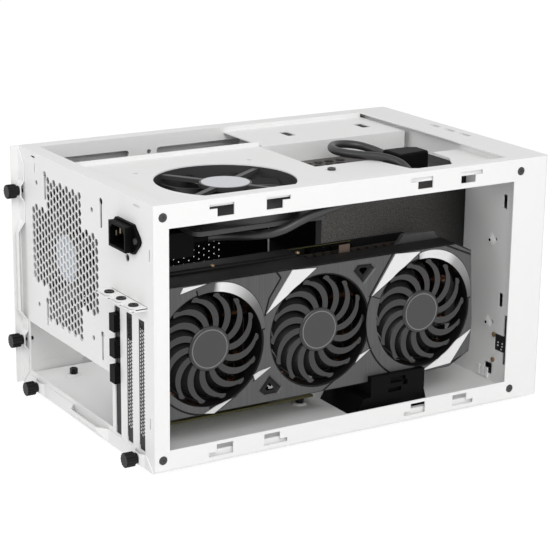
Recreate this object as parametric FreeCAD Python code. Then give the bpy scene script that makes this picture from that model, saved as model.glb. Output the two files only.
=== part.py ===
import FreeCAD
import Part
import math
import os

# Small white cube computer case, seen open: sheet-steel chassis, sliding panels, fans,
# power supply and a three-fan graphics card. Millimetres, +Z up, front towards -Y.
# The origin is on the floor, under the middle of the case.

V = FreeCAD.Vector

# Case
CASE_W = 244.0          # open side to far panel
CASE_H = 210.0          # underside of the bottom panel to the top rim
CASE_L = 349.0          # rear face to the back of the bezel
BEZEL_T = 22.0          # depth of the moulded front
SHEET = 1.0             # chassis sheet
PANEL_T = 1.0           # removable panels
SLIDE_GAP = 0.2         # air between a sliding panel and the chassis
FOOT_H = 4.0
FOOT_R = 9.0
FOOT_INSET_X = 32.0
FOOT_INSET_Y = 40.0
FLANGE_W = 11.5         # folded edges of the side frames and of the rear panel
FRAME_L = 335.0         # rear face to the seam with the front frame
WALL_Y = 341.0          # rear face to the front frame's wall
REAR_STILE = 13.0
RAIL_TOP = 18.5
RAIL_BOTTOM = 16.8
TRAY_H = 9.0            # case underside to the tray's upper face
TRAY_GAP = 0.8          # room beside the tray for the panel hooks
PLATE_DROP = 5.5        # top rim down to the fan plate's upper face
PSU_PLATE_DROP = 7.5    # top rim down to the supply plate's upper face

# Hook slots of the side frames: distance from the rear face, side of the narrow tongue
HOOK_SLOTS = ((47.2, 1), (96.8, -1), (230.7, 1), (280.2, -1))
SLOT_L = 21.4
SLOT_H = 9.6
TONGUE_L = 6.8
TONGUE_H = 3.4
SLOT_RIM = 4.6          # rim of the frame to the slot
HOOK_W = 4.6
HOOK_TOE = 4.4
SLIDE_TRAVEL = 12.0

# Panel flanges at the rear, finger pulls and thumbscrews
PANEL_FLANGE = 11.0
MITRE = 13.0
PULL_H = 6.5
PULL_TAPER = 9.0
SIDE_PULL = (59.5, 146.0)
BASE_PULL = (-44.0, 22.0)
SEAT_H = 3.0
SEAT_L = 17.0
SEAT_TAPER = 4.0
SIDE_SCREWS = (41.0, 37.5)      # up from the underside, down from the top rim
BASE_SCREWS = (23.0, 35.0)      # in from the open side, in from the far side
THUMB_R = 6.0
THUMB_EDGE = 6.3        # panel's outer edge to the screw's axis
THUMB_HEAD = 8.0
THUMB_NECK = 2.6
THUMB_NECK_R = 4.2
THUMB_SHANK = 6.0
THUMB_SHANK_R = 1.6
THUMB_FLUTES = 14
THUMB_FLUTE_DEEP = 0.8

# Rear panel
FAN_SIZE = 120.0
FAN_PITCH = 105.0
FAN_DEPTH = 25.0
FAN_BORE_R = 57.0
FAN_HOLE_R = 2.15
REAR_FAN_IN = 86.4      # far frame to the fan's axis
REAR_FAN_DROP = 77.6    # top rim to the fan's axis
VENT_PITCH = 11.2
VENT_HOLE = 8.8         # across flats
VENT_COLUMN = (31.5, 62.8)
VENT_WING = (64.7, 33.5)
KEYHOLE_ASIDE = (35.6, -69.0)   # beside the fan's axis
KEYHOLE_RISE = (41.6, -66.4)    # from the fan's axis to a keyhole's foot
KEYHOLE_L = 24.0
KEYHOLE_W = 3.4
KEYHOLE_HEAD_R = 3.0
SLOT_PITCH = 20.32
CARD_SLOT_IN = 61.2     # open side to the middle of the first card slot
CARD_SLOT_W = 9.6
CARD_SLOT_Z = (12.4, 117.5)
SHELF_Z = 128.6         # upper face of the slot-screw shelf
SHELF_OUT = 12.5
IO_ASIDE = (10.2, 12.6)  # from the first card slot, from the far frame
IO_Z = (14.8, 59.3)
REAR_SLITS = ((27.0, 5.5, 10.0, 1.6), (6.4, 39.0, 1.6, 9.0), (7.0, 171.5, 1.6, 9.0),
              (215.0, 4.5, 8.0, 1.6), (212.0, 13.4, 1.6, 8.0))  # in, down, width, height
HOUSING_LATCH = (42.4, 49.0, 3.0)   # hole under the inlet: in, down, radius

# Power inlet and lead
INLET_IN = 43.0         # open side to the socket's axis
INLET_DROP = 31.5       # top rim to the socket's axis
INLET_W = 50.0
INLET_H = 23.0
INLET_RIM = (28.0, 20.0)
INLET_MOUTH = (24.0, 16.0)
INLET_MOUTH_DEPTH = 15.0
INLET_OUT = 8.5
INLET_SCREWS = 40.0
HOUSING_L = 51.0
HOUSING_W = 24.0
HOUSING_H = 20.0
HOUSING_DROP = 10.5     # inlet axis down to the middle of the inner housing
BOOT_L = 17.0
BOOT_R = 5.6
LEAD_R = 3.5
PLUG_IN = 14.4          # supply's near side to the middle of the plug
PLUG_Y = 288.0          # rear face to the middle of the plug
PLUG_SIZE = (26.0, 32.0, 16.5)

# Power supply and drive cage
PSU_IN = 72.6           # open side to the supply
PSU_W = 85.4
PSU_Y = (193.5, 340.6)
PSU_DROP = 20.3         # top rim to the supply's upper face
PSU_H = 140.0
PSU_WALL = 1.2
PSU_EDGE_R = 1.5
PSU_RIM = 8.0
PSU_VENT_END = 266.0    # rear face to the front end of the supply's vent
PLATE_SPLIT = 188.8     # seam between the fan plate and the supply's plate
PSU_PLATE_OVER = 11.4   # supply's plate past the supply's near side
PSU_LEG_IN = 4.7        # seam to the tab that rests on the supply
FAN_PLATE_W = 167.0     # open side to the fan plate's raised edge
FAN_PLATE_LIP = 4.0
CAGE_GAP = 0.8          # supply to the drive cage
CAGE_DROP = 4.5
CAGE_H = 56.0
CAGE_FRONT_GAP = 5.2
CAGE_WINDOW_IN = 32.5   # lip to the middle of the cage's windows
LIP_IN = 13.3           # far frame to its slotted lip
LIP_H = 46.0
LIP_SLOTS = ((31.0, 96.0), (123.0, 207.0))
LIP_SLOT_DROP = 14.5
LIP_SLOT_W = 6.0

# Top fan
TOP_FAN_IN = 71.5       # open side to the fan's axis
TOP_FAN_Y = 101.5
FAN_RING_T = 2.0
FAN_FLANGE_T = 3.6
STRUT_W = 5.0
STRUT_T = 3.2
FAN_HUB_R = 21.0
FAN_TIP_GAP = 1.2
HUB_GAP = 0.4
POST_R = 4.0
POST_GAP = 0.3

# Graphics card: distances run forward from the rear face
CARD_FACE_IN = 13.0     # open side to the shroud's face
CARD_SHROUD_T = 2.0
CARD_SHROUD_DEEP = 21.0
CARD_ROOF_END = 155.0   # rear face to the end of the roof over the fins
CARD_ROOF_GAP = 0.4     # roof to the card's board
CARD_RAIL_R = 2.2
CARD_RAIL_IN = 20.0     # board to the rail on the roof
CARD_Y = (2.6, 307.0)
CARD_Z = (35.3, 142.0)
CARD_FANS_Y = (55.7, 155.5, 255.3)
CARD_FAN_Z = 87.4
CARD_DUCT_R = 46.0
CARD_DUCT_T = 1.4
CARD_FAN_R = 44.4
CARD_HUB_R = 18.2
CARD_FAN_DEEP = 10.0
CARD_FAN_SETBACK = 1.6
CARD_BLADES = 14
CARD_CORNER = 14.0
TRIM_T = 0.8
TRIM_GAP = 0.5          # trim to the plates beside it
FACE_SEAM = 1.6         # gaps between the plates on the face
FACE_EDGE = 0.8         # shroud's edge to the plates
OFFCUT_AREA = 10.0      # smaller offcuts between the seams aren't plates
POCKET_DEEP = 1.1
BOARD_T = 1.6
CARD_BOARD_IN = 64.0    # open side to the card's board
BOARD_Z = (30.0, 141.0)
BOARD_END = 217.0
EDGE_Y = (50.0, 135.0)
EDGE_DROP = 8.0
BACK_GAP = 2.0
FIN_COUNT = 34
FIN_T = 0.9
PIPE_R = 3.0
PIPE_GAP = 0.15
BRACKET_T = 0.9
BRACKET_Z0 = 10.6
BRACKET_W = 18.4

# Slot board on the tray, card holder
STANDOFF_H = 5.0
BUMP_H = 1.4
BUMP_R = 6.5
STANDOFF_R = 3.0
SLOT_BOARD_ASIDE = (-12.0, 11.5)    # from the card's board
SLOT_BOARD_Y = (7.0, 175.0)
CARD_SOCKET = (7.5, 89.0, 11.0)
FAR_POST_IN = 27.3      # far frame to the far row of board posts
BOARD_ROWS_Y = (33.5, 165.58)
HOLDER_Y = (187.0, 259.0)
HOLDER_BLOCK_Y = (202.0, 255.0)
HOLDER_BASE_H = 15.0
HOLDER_BLOCK_H = 17.0

# Front controls
BEZEL_WALL = 2.5
BEZEL_R = 4.0
BEZEL_SLOTS_X = (24.7, 2.2, -20.0)
BEZEL_SLOT = (14.0, 5.0)
CONTROL_IN = 15.0       # open side to the row of controls
BUTTON_Z = 64.0
BUTTON_R = 6.0
BUTTON_GAP = 0.3
BUTTON_TRAVEL = 1.5
USB_Z = (48.5, 39.5)
USB_SIZE = (13.2, 5.8)
JACK_Z = 31.0
JACK_R = 3.4

# Places that follow from the sizes above
FLANGE_FACE = SLIDE_GAP + PANEL_T
REAR_REACH = FLANGE_FACE + SEAT_H + THUMB_NECK + THUMB_HEAD
Y_REAR = (CASE_L + BEZEL_T - REAR_REACH) / 2
Y_BEZEL = Y_REAR - CASE_L
Y_FRONT = Y_BEZEL - BEZEL_T
X_NEAR = -CASE_W / 2
X_FAR = CASE_W / 2
X_FRAME = X_FAR - PANEL_T - SLIDE_GAP
Z_BASE = FOOT_H
Z_TOP = FOOT_H + CASE_H
Z_CHASSIS = Z_BASE + PANEL_T + SLIDE_GAP
PLATE_TOP = Z_TOP - PLATE_DROP
PLATE_UNDER = PLATE_TOP - SHEET
PSU_PLATE_TOP = Z_TOP - PSU_PLATE_DROP
PSU_PLATE_UNDER = PSU_PLATE_TOP - SHEET
SIDE_SCREWS_Z = (SIDE_SCREWS[0], CASE_H - SIDE_SCREWS[1])
BASE_SCREWS_X = (X_NEAR + BASE_SCREWS[0], X_FAR - BASE_SCREWS[1])
REAR_FAN_X = X_FRAME - REAR_FAN_IN
REAR_FAN_Z = CASE_H - REAR_FAN_DROP
KEYHOLE_X = tuple(REAR_FAN_X + aside for aside in KEYHOLE_ASIDE)
KEYHOLE_Z = tuple(REAR_FAN_Z + rise for rise in KEYHOLE_RISE)
CARD_SLOT_X = X_NEAR + CARD_SLOT_IN
IO_X = (CARD_SLOT_X + IO_ASIDE[0], X_FRAME - IO_ASIDE[1])
INLET_X = X_NEAR + INLET_IN
INLET_Z = CASE_H - INLET_DROP
PSU_X = (X_NEAR + PSU_IN, X_NEAR + PSU_IN + PSU_W)
PSU_TOP = CASE_H - PSU_DROP
PLUG_X = PSU_X[0] + PLUG_IN
PSU_PLATE_X = PSU_X[0] + PSU_PLATE_OVER
FAN_PLATE_X = X_NEAR + FAN_PLATE_W
CAGE_X = PSU_X[1] + CAGE_GAP
CAGE_TOP = CASE_H - CAGE_DROP
LIP_X = X_FRAME - LIP_IN
LIP_SLOT_Z = CASE_H - LIP_SLOT_DROP
TOP_FAN_X = X_NEAR + TOP_FAN_IN
CARD_FACE_X = X_NEAR + CARD_FACE_IN
BOARD_X = X_NEAR + CARD_BOARD_IN
SLOT_BOARD_X = tuple(BOARD_X + aside for aside in SLOT_BOARD_ASIDE)
CONTROL_X = X_NEAR + CONTROL_IN


def into(distance):
    """Y of a place this far in from the rear face."""
    return Y_REAR - distance


def up(height):
    """Z of a place this far above the underside of the case."""
    return Z_BASE + height


def box(x0, x1, y0, y1, z0, z1):
    low = V(min(x0, x1), min(y0, y1), min(z0, z1))
    return Part.makeBox(abs(x1 - x0), abs(y1 - y0), abs(z1 - z0), low)


def rod(start, axis, radius, length):
    return Part.makeCylinder(radius, length, V(*start), V(*axis))


def prism(outline, axis, low, high):
    """Straight-sided outline, pushed along one axis from low to high."""
    place = {
        "x": lambda u, v: V(low, u, v),
        "y": lambda u, v: V(u, low, v),
        "z": lambda u, v: V(u, v, low),
    }[axis]
    ring = [place(u, v) for u, v in outline]
    push = {"x": V(high - low, 0, 0), "y": V(0, high - low, 0), "z": V(0, 0, high - low)}[axis]
    return Part.Face(Part.makePolygon(ring + ring[:1])).extrude(push)


def fuse(shapes):
    whole = shapes[0]
    if len(shapes) > 1:
        whole = whole.multiFuse(shapes[1:])
    return whole.removeSplitter()


def cut(shape, tools):
    return shape.cut(Part.makeCompound(tools))


def cut_in_turn(shape, tools):
    """Cut by tools that reach into each other."""
    for tool in tools:
        shape = shape.cut(tool)
    return shape


def group(shapes):
    return Part.makeCompound(shapes)


def hexagon(x, z, flats):
    """Corners of a hexagon with flat top and bottom."""
    radius = flats / math.sqrt(3)
    turns = [math.radians(60 * i) for i in range(6)]
    return [(x + radius * math.cos(a), z + radius * math.sin(a)) for a in turns]


def honeycomb(half_u, half_v, pitch):
    """Centres of a hexagon field about the origin, in upright columns."""
    column = pitch * math.sqrt(3) / 2
    reach = int(half_u / column) + 1
    rows = int(half_v / pitch) + 2
    for i in range(-reach, reach + 1):
        shift = pitch / 2 if i % 2 else 0.0
        for j in range(-rows, rows + 1):
            yield i * column, j * pitch + shift


def polar(radius, degrees):
    turn = math.radians(degrees)
    return V(radius * math.cos(turn), radius * math.sin(turn), 0)


def placed(shape, point, front):
    """Shape built about +Z, turned so that its front looks along the given way and moved."""
    turn = FreeCAD.Rotation(V(0, 0, 1), V(*front))
    copy = shape.copy()
    copy.Placement = FreeCAD.Placement(V(*point), turn).multiply(shape.Placement)
    return copy


# Sheet-metal chassis


def hook_slot_cuts(x0, x1, distance, tongue, rim_z, inward):
    """A hook slot through a side sheet: a wide mouth and a narrow tongue beside the rim."""
    rear = into(distance)
    front = into(distance + SLOT_L)
    near_rim = rim_z + inward * SLOT_RIM
    far_rim = near_rim + inward * SLOT_H
    tongue_far = near_rim + inward * TONGUE_H
    if tongue > 0:
        mouth = (front, rear - TONGUE_L)
        neck = (rear - TONGUE_L, rear)
    else:
        mouth = (front + TONGUE_L, rear)
        neck = (front, front + TONGUE_L)
    return [
        box(x0, x1, mouth[0], mouth[1], near_rim, far_rim),
        box(x0, x1, neck[0], neck[1], near_rim, tongue_far),
    ]


def base_slot_cuts(x_middle, distance):
    """Slot in a lower flange for a hook of the bottom panel."""
    half = TONGUE_H / 2
    front = into(distance + SLOT_L)
    return [box(x_middle - half, x_middle + half, front, into(distance),
                Z_CHASSIS - 1, Z_CHASSIS + SHEET + 1)]


SCREW_HEAD_R = 3.4
SCREW_GAP = 0.2
SCREW_R = 1.5
FRAME_SCREWS = ((8.0, CASE_H - 9.5), (7.2, 9.8))
FRONT_SCREWS = ((341.5, CASE_H - 10.4), (340.5, 9.8))


def base_hook_x(side):
    """Middle of the lower flange on one side, where the bottom panel's hooks pass."""
    outer = X_NEAR if side < 0 else X_FRAME
    return outer - side * FLANGE_W / 2


def side_frame(outer, inward):
    """Sheet with a window, open towards the front, and folded top and bottom edges."""
    inner = outer + inward * SHEET
    edge = outer + inward * FLANGE_W
    sheet = box(outer, inner, into(FRAME_L), into(0), Z_CHASSIS, Z_TOP)
    top = box(outer, edge, into(FRAME_L), into(SHEET), Z_TOP - SHEET, Z_TOP)
    base = box(outer, edge, into(FRAME_L), into(SHEET), Z_CHASSIS, Z_CHASSIS + SHEET)
    frame = fuse([sheet, top, base])
    past = outer - inward
    beyond = inner + inward
    tools = [box(past, beyond, into(FRAME_L) - 1, into(REAR_STILE),
                 up(RAIL_BOTTOM), Z_TOP - RAIL_TOP)]
    for distance, tongue in HOOK_SLOTS:
        tools += hook_slot_cuts(past, beyond, distance, tongue, Z_TOP, -1)
        tools += hook_slot_cuts(past, beyond, distance, tongue, Z_BASE, 1)
        if tongue < 0:
            tools += base_slot_cuts(base_hook_x(-inward), distance)
    for distance, height in FRAME_SCREWS:
        tools.append(rod((past, into(distance), up(height)), (inward, 0, 0),
                         SCREW_HEAD_R + SCREW_GAP, SHEET + 2))
    return cut(frame, tools)


def near_frame_strips():
    """The near frame as its rear stile, base rail and top rail, which meet along the window's edges.

    The top rail is in three lengths, parted midway between its hook slots.
    """
    frame = side_frame(X_NEAR, 1)
    low = up(RAIL_BOTTOM)
    high = Z_TOP - RAIL_TOP
    x0 = X_NEAR - 1
    x1 = X_NEAR + FLANGE_W + 1
    front = into(FRAME_L) - 1
    rear = into(0) + 1
    slots = [distance for distance, _ in HOOK_SLOTS]
    part_1 = into((slots[0] + slots[1]) / 2)
    part_2 = into((slots[1] + slots[2]) / 2)
    return {
        "near_top_rail_rear": frame.common(box(x0, x1, part_1, rear, high, Z_TOP + 1)),
        "near_top_rail_middle": frame.common(box(x0, x1, part_2, part_1, high, Z_TOP + 1)),
        "near_top_rail_front": frame.common(box(x0, x1, front, part_2, high, Z_TOP + 1)),
        "near_base_rail": frame.common(box(x0, x1, front, rear, Z_CHASSIS - 1, low)),
        "near_rear_stile": frame.common(box(x0, x1, front, rear, low, high)),
    }


def far_side_frame():
    """The far frame, with an inner lip below its top fold, slotted for fans."""
    frame = side_frame(X_FRAME, -1)
    bridge = box(LIP_X, X_FRAME - FLANGE_W, into(FRAME_L), into(REAR_STILE), Z_TOP - SHEET, Z_TOP)
    lip = box(LIP_X, LIP_X + SHEET, into(FRAME_L), into(REAR_STILE), Z_TOP - LIP_H, Z_TOP)
    tools = []
    low = up(LIP_SLOT_Z) - LIP_SLOT_W / 2
    for start, end in LIP_SLOTS:
        ends = (into(start) - LIP_SLOT_W / 2, into(end) + LIP_SLOT_W / 2)
        tools.append(box(LIP_X - 1, LIP_X + SHEET + 1, ends[1], ends[0], low, low + LIP_SLOT_W))
        for y in ends:
            tools.append(rod((LIP_X - 1, y, up(LIP_SLOT_Z)), (1, 0, 0), LIP_SLOT_W / 2, SHEET + 2))
    middle = into((LIP_SLOTS[0][1] + LIP_SLOTS[1][0]) / 2 + LIP_SLOT_W)
    tools.append(rod((LIP_X - 1, middle, up(LIP_SLOT_Z)), (1, 0, 0), LIP_SLOT_W / 3, SHEET + 2))
    return fuse([frame, bridge, cut(lip, tools)])


def keyhole(x, z_low):
    """Upright slot with a round head, through the rear panel."""
    y = into(SHEET + 1)
    deep = SHEET + 2
    top = z_low + KEYHOLE_L - KEYHOLE_HEAD_R
    return [
        box(x - KEYHOLE_W / 2, x + KEYHOLE_W / 2, y, y + deep, z_low, top),
        rod((x, y, top), (0, 1, 0), KEYHOLE_HEAD_R, deep),
    ]


def card_slot_middles():
    return [CARD_SLOT_X - i * SLOT_PITCH for i in range(3)]


def fan_holes(x, z):
    half = FAN_PITCH / 2
    return [(x + i * half, z + j * half) for i in (-1, 1) for j in (-1, 1)]


def vent_holes(x, z, y0, y1):
    """Honeycomb in the shape of a broad plus."""
    tools = []
    for u, v in honeycomb(VENT_WING[0], VENT_COLUMN[1], VENT_PITCH):
        in_column = abs(u) < VENT_COLUMN[0] and abs(v) < VENT_COLUMN[1] - VENT_HOLE / 3
        in_wing = abs(u) < VENT_WING[0] - VENT_HOLE / 3 and abs(v) < VENT_WING[1]
        if in_column or in_wing:
            tools.append(prism(hexagon(x + u, z + v, VENT_HOLE), "y", y0, y1))
    return tools


def inlet_cut_outline(grow):
    half_w = INLET_RIM[0] / 2 + grow
    half_h = INLET_RIM[1] / 2 + grow
    z = up(INLET_Z)
    return [(INLET_X - half_w, z - half_h), (INLET_X + half_w, z - half_h),
            (INLET_X + half_w, z + half_h), (INLET_X - half_w, z + half_h)]


SHELF_ENDS = (CARD_SLOT_X + BRACKET_W / 2 + 1.0,
              CARD_SLOT_X - 2 * SLOT_PITCH - BRACKET_W / 2 - 1.0)
TAB_SLIT = 2 * BRACKET_T
SLOT_SCREW_OUT = 6.5


def shelf():
    """Ledge outside the rear panel that the card brackets' tabs are screwed to."""
    high, low = SHELF_ENDS
    y0 = into(0)
    wave = SHELF_OUT - 2.5
    edge = [(high, y0), (high, y0 + SHELF_OUT)]
    for x in card_slot_middles():
        edge += [(x - 5.5, y0 + SHELF_OUT), (x - 7.5, y0 + wave)]
        edge += [(x - 12.0, y0 + wave), (x - 14.0, y0 + SHELF_OUT)]
    edge = edge[:-2] + [(low, y0 + wave), (low, y0)]
    ledge = prism(edge, "z", up(SHELF_Z) - SHEET, up(SHELF_Z))
    under = up(SHELF_Z) - SHEET - 1
    holes = [rod((x, y0 + SLOT_SCREW_OUT, under), (0, 0, 1), SCREW_R + SCREW_GAP, SHEET + 2)
             for x in card_slot_middles()]
    return cut(ledge, holes)


def rear_panel():
    x0 = X_NEAR + SHEET
    x1 = X_FRAME - SHEET
    y0 = into(SHEET)
    y1 = into(0)
    plate = box(x0, x1, y0, y1, Z_CHASSIS, Z_TOP)
    fold_low = Z_CHASSIS + SHEET
    fold_high = Z_TOP - SHEET
    folds = [
        box(x0, x0 + SHEET, into(REAR_STILE), y0, fold_low, fold_high),
        box(x1 - SHEET, x1, into(REAR_STILE), y0, fold_low, fold_high),
        box(X_NEAR + FLANGE_W, X_FRAME - FLANGE_W, into(REAR_STILE), y0, Z_TOP - SHEET, Z_TOP),
    ]
    before = y0 - 1
    after = y1 + 1
    tools = vent_holes(REAR_FAN_X, up(REAR_FAN_Z), before, after)
    for x, z in fan_holes(REAR_FAN_X, up(REAR_FAN_Z)):
        tools.append(rod((x, before, z), (0, 1, 0), FAN_HOLE_R, SHEET + 2))
    for x in KEYHOLE_X:
        for z in KEYHOLE_Z:
            tools += keyhole(x, up(z))
    for x in card_slot_middles():
        tools.append(box(x - CARD_SLOT_W / 2, x + CARD_SLOT_W / 2, before, after,
                         up(CARD_SLOT_Z[0]), up(CARD_SLOT_Z[1])))
    tools.append(box(SHELF_ENDS[0], SHELF_ENDS[1], before, after, up(SHELF_Z), up(SHELF_Z) + TAB_SLIT))
    tools.append(box(IO_X[0], IO_X[1], before, after, up(IO_Z[0]), up(IO_Z[1])))
    tools.append(prism(inlet_cut_outline(SCREW_GAP), "y", before, after))
    for side in (-1, 1):
        tools.append(rod((INLET_X + side * INLET_SCREWS / 2, before, up(INLET_Z)), (0, 1, 0),
                         SCREW_R + SCREW_GAP, SHEET + 2))
    for inside, drop, w, h in REAR_SLITS:
        x = X_NEAR + inside
        z = Z_TOP - drop
        tools.append(box(x - w / 2, x + w / 2, before, after, z - h / 2, z + h / 2))
    inside, drop, radius = HOUSING_LATCH
    tools.append(rod((X_NEAR + inside, before, Z_TOP - drop), (0, 1, 0), radius, SHEET + 2))
    for x, z in thumbscrew_places():
        tools.append(rod((x, before, z), (0, 1, 0), THUMB_SHANK_R + SCREW_GAP, SHEET + 2))
    for distance, height in FRAME_SCREWS:
        tools.append(rod((x0 - 1, into(distance), up(height)), (1, 0, 0), SCREW_R + SCREW_GAP, SHEET + 2))
        tools.append(rod((x1 + 1, into(distance), up(height)), (-1, 0, 0), SCREW_R + SCREW_GAP, SHEET + 2))
    return fuse([cut(fuse([plate] + folds), tools), shelf()])


def standoff_places():
    """Board posts: two on the open side under the slot board, two on the far side."""
    near_x = (SLOT_BOARD_X[0] + STANDOFF_R * 2)
    far_x = X_FRAME - FAR_POST_IN
    return [(x, into(row)) for x in (near_x, far_x) for row in BOARD_ROWS_Y]


def floor_tray():
    x0 = X_NEAR + 2 * SHEET + TRAY_GAP
    x1 = X_FRAME - 2 * SHEET - TRAY_GAP
    y0 = into(WALL_Y)
    y1 = into(SHEET)
    top = up(TRAY_H)
    plate = box(x0, x1, y0, y1, top - SHEET, top)
    legs = [box(x0, x0 + SHEET, y0, y1, Z_CHASSIS + SHEET, top),
            box(x1 - SHEET, x1, y0, y1, Z_CHASSIS + SHEET, top)]
    bumps = [Part.makeCone(BUMP_R, BUMP_R - BUMP_H, BUMP_H, V(x, y, top)) for x, y in standoff_places()]
    return fuse([plate] + legs + bumps)


def board_standoffs():
    base = up(TRAY_H) + BUMP_H
    posts = []
    for x, y in standoff_places():
        post = prism(hexagon(x, y, 2 * STANDOFF_R), "z", base, base + STANDOFF_H)
        posts.append(post.cut(rod((x, y, base + 1), (0, 0, 1), SCREW_R, STANDOFF_H)))
    return group(posts)


def fan_plate():
    """Recessed top plate over the card, with a round fan opening and a raised far edge."""
    x0 = X_NEAR + 2 * SHEET
    plate = box(x0, FAN_PLATE_X, into(PLATE_SPLIT), into(SHEET), PLATE_UNDER, PLATE_TOP)
    far_edge = box(FAN_PLATE_X - SHEET, FAN_PLATE_X, into(PLATE_SPLIT), into(REAR_STILE + 2),
                   PLATE_TOP, PLATE_TOP + FAN_PLATE_LIP)
    near_edge = box(x0, x0 + SHEET, into(PLATE_SPLIT), into(REAR_STILE), PLATE_TOP, Z_TOP - SHEET)
    step = box(x0, FAN_PLATE_X, into(PLATE_SPLIT), into(PLATE_SPLIT - SHEET), PSU_PLATE_UNDER, PLATE_TOP)
    y = into(TOP_FAN_Y)
    tools = [rod((TOP_FAN_X, y, PLATE_UNDER - 1), (0, 0, 1), FAN_BORE_R, SHEET + 2)]
    for x, hole_y in fan_holes(TOP_FAN_X, y):
        tools.append(rod((x, hole_y, PLATE_UNDER - 1), (0, 0, 1), FAN_HOLE_R, SHEET + 2))
    return cut(fuse([plate, far_edge, near_edge, step]), tools)


def psu_plate():
    """Plate over the power supply on the open side, notched for the plug and its lead."""
    x0 = X_NEAR + 2 * SHEET
    x1 = PSU_PLATE_X
    rear = into(PLATE_SPLIT)
    front = into(WALL_Y)
    notch_rear = into(250.0)
    notch_front = into(PLUG_Y + PLUG_SIZE[1] / 2 + 8.0)
    deep = x1 - 48.0
    outline = [(x0, rear), (x1, rear), (x1, notch_rear), (deep + 6.0, notch_rear - 9.0),
               (deep, notch_rear - 20.0), (deep, notch_front + 14.0), (deep + 24.0, notch_front),
               (x1, notch_front), (x1, front), (x0, front)]
    plate = prism(outline, "z", PSU_PLATE_UNDER, PSU_PLATE_TOP)
    near_edge = box(x0, x0 + SHEET, into(FRAME_L), rear, PSU_PLATE_TOP, Z_TOP - SHEET)
    leg_rear = PLATE_SPLIT + PSU_LEG_IN
    leg = box(PSU_X[0], x1, into(leg_rear + SHEET), into(leg_rear), up(PSU_TOP), PSU_PLATE_UNDER)
    return fuse([plate, near_edge, leg])


def drive_cage():
    """Folded tray at the far front corner: roof, side wall and floor, open to the rear."""
    rear = into(PLATE_SPLIT + SHEET)
    front = into(WALL_Y - CAGE_FRONT_GAP)
    top = up(CAGE_TOP)
    floor = top - CAGE_H
    roof = box(CAGE_X, LIP_X, front, rear, top - SHEET, top)
    wall = box(CAGE_X, CAGE_X + SHEET, front, rear, floor, top)
    base = box(CAGE_X, LIP_X, front, rear, floor, floor + SHEET)
    turn_in = box(CAGE_X, CAGE_X + 12.0, rear - SHEET, rear, floor, top)
    side = 9.0
    tools = []
    for distance in (236.0, 315.0):
        x = LIP_X - CAGE_WINDOW_IN
        tools.append(box(x - side, x + side, into(distance) - side / 2, into(distance) + side / 2,
                         top - SHEET - 1, top + 1))
    return cut(fuse([roof, wall, base, turn_in]), tools)


def front_frame():
    """Inner front wall with a short rim that the side frames and the bezel meet."""
    wall = box(X_NEAR + SHEET, X_FRAME - SHEET, into(WALL_Y + SHEET), into(WALL_Y), Z_CHASSIS, Z_TOP)
    y0 = Y_BEZEL
    y1 = into(FRAME_L)
    rim = [
        box(X_NEAR, X_NEAR + SHEET, y0, y1, Z_CHASSIS, Z_TOP),
        box(X_FRAME - SHEET, X_FRAME, y0, y1, Z_CHASSIS, Z_TOP),
        box(X_NEAR, X_FRAME, y0, y1, Z_TOP - SHEET, Z_TOP),
        box(X_NEAR, X_FRAME, y0, y1, Z_CHASSIS, Z_CHASSIS + SHEET),
    ]
    before = into(WALL_Y + SHEET) - 1
    after = into(WALL_Y) + 1
    tools = []
    for height in (164.0, 78.0):
        tools.append(box(X_NEAR + 15.5, X_NEAR + 20.5, before, after, up(height), up(height + 12.0)))
    for height in (135.0, 62.0):
        tools.append(rod((X_NEAR + 28.0, before, up(height)), (0, 1, 0), SCREW_R, SHEET + 2))
    tools.append(box(X_NEAR + 3.0, X_NEAR + 12.0, before, after, up(28.0), up(72.0)))
    tools.append(box(X_NEAR + 11.0, X_NEAR + 24.0, before, after, up(38.0), up(53.0)))
    tools.append(box(X_NEAR + 26.0, X_NEAR + 36.0, before, after, up(14.5), up(24.5)))
    for distance, height in FRONT_SCREWS:
        tools.append(rod((X_NEAR - 1, into(distance), up(height)), (1, 0, 0),
                         SCREW_HEAD_R + SCREW_GAP, SHEET + 2))
    return cut(fuse([wall] + rim), tools)


def frame_screws():
    """Countersunk screws in the open side's four corners."""
    screws = []
    for distance, height in FRAME_SCREWS + FRONT_SCREWS:
        place = (X_NEAR, into(distance), up(height))
        head = rod(place, (1, 0, 0), SCREW_HEAD_R, SHEET)
        socket = rod((X_NEAR - 1, into(distance), up(height)), (1, 0, 0), 1.2, 1.6)
        reach = 2 * SHEET + TRAY_GAP / 2 if distance < FRAME_L else SHEET + TRAY_GAP
        shank = rod(place, (1, 0, 0), SCREW_R - SCREW_GAP / 2, reach)
        screws.append(fuse([head, shank]).cut(socket))
    return group(screws)


# Panels that slide off to the rear


def thumbscrew_places():
    side_x = X_FAR - THUMB_EDGE
    base_z = Z_BASE + THUMB_EDGE
    places = [(side_x, up(z)) for z in SIDE_SCREWS_Z]
    return places + [(x, base_z) for x in BASE_SCREWS_X]


def raised_seat(across, along, flat, taper, height, shift, turned):
    """Pressed bump on a rear flange: open at the flange's inner edge, with sloping ends.

    across and along are the flange's own directions: for the far panel they are x and z,
    for the bottom panel, where turned is true, they are z and x.
    """
    y0 = Y_REAR + SLIDE_GAP + shift

    def spot(u, v, y):
        return V(v, y, u) if turned else V(u, y, v)

    def ring(u0, u1, v0, v1, y):
        return Part.makePolygon([spot(u0, v0, y), spot(u1, v0, y), spot(u1, v1, y), spot(u0, v1, y),
                                 spot(u0, v0, y)])

    low = ring(across[0], across[1], along[0], along[1], y0)
    high = ring(flat, across[1], along[0] + taper, along[1] - taper, y0 + height)
    return Part.makeLoft([low, high], True, True)


def pressed(flange, bumps):
    """Flange with bumps pressed out of the sheet."""
    outer = [raised_seat(shift=PANEL_T, **bump) for bump in bumps]
    inner = [raised_seat(shift=0.0, **bump) for bump in bumps]
    return cut(fuse([flange] + outer), inner)


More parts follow.
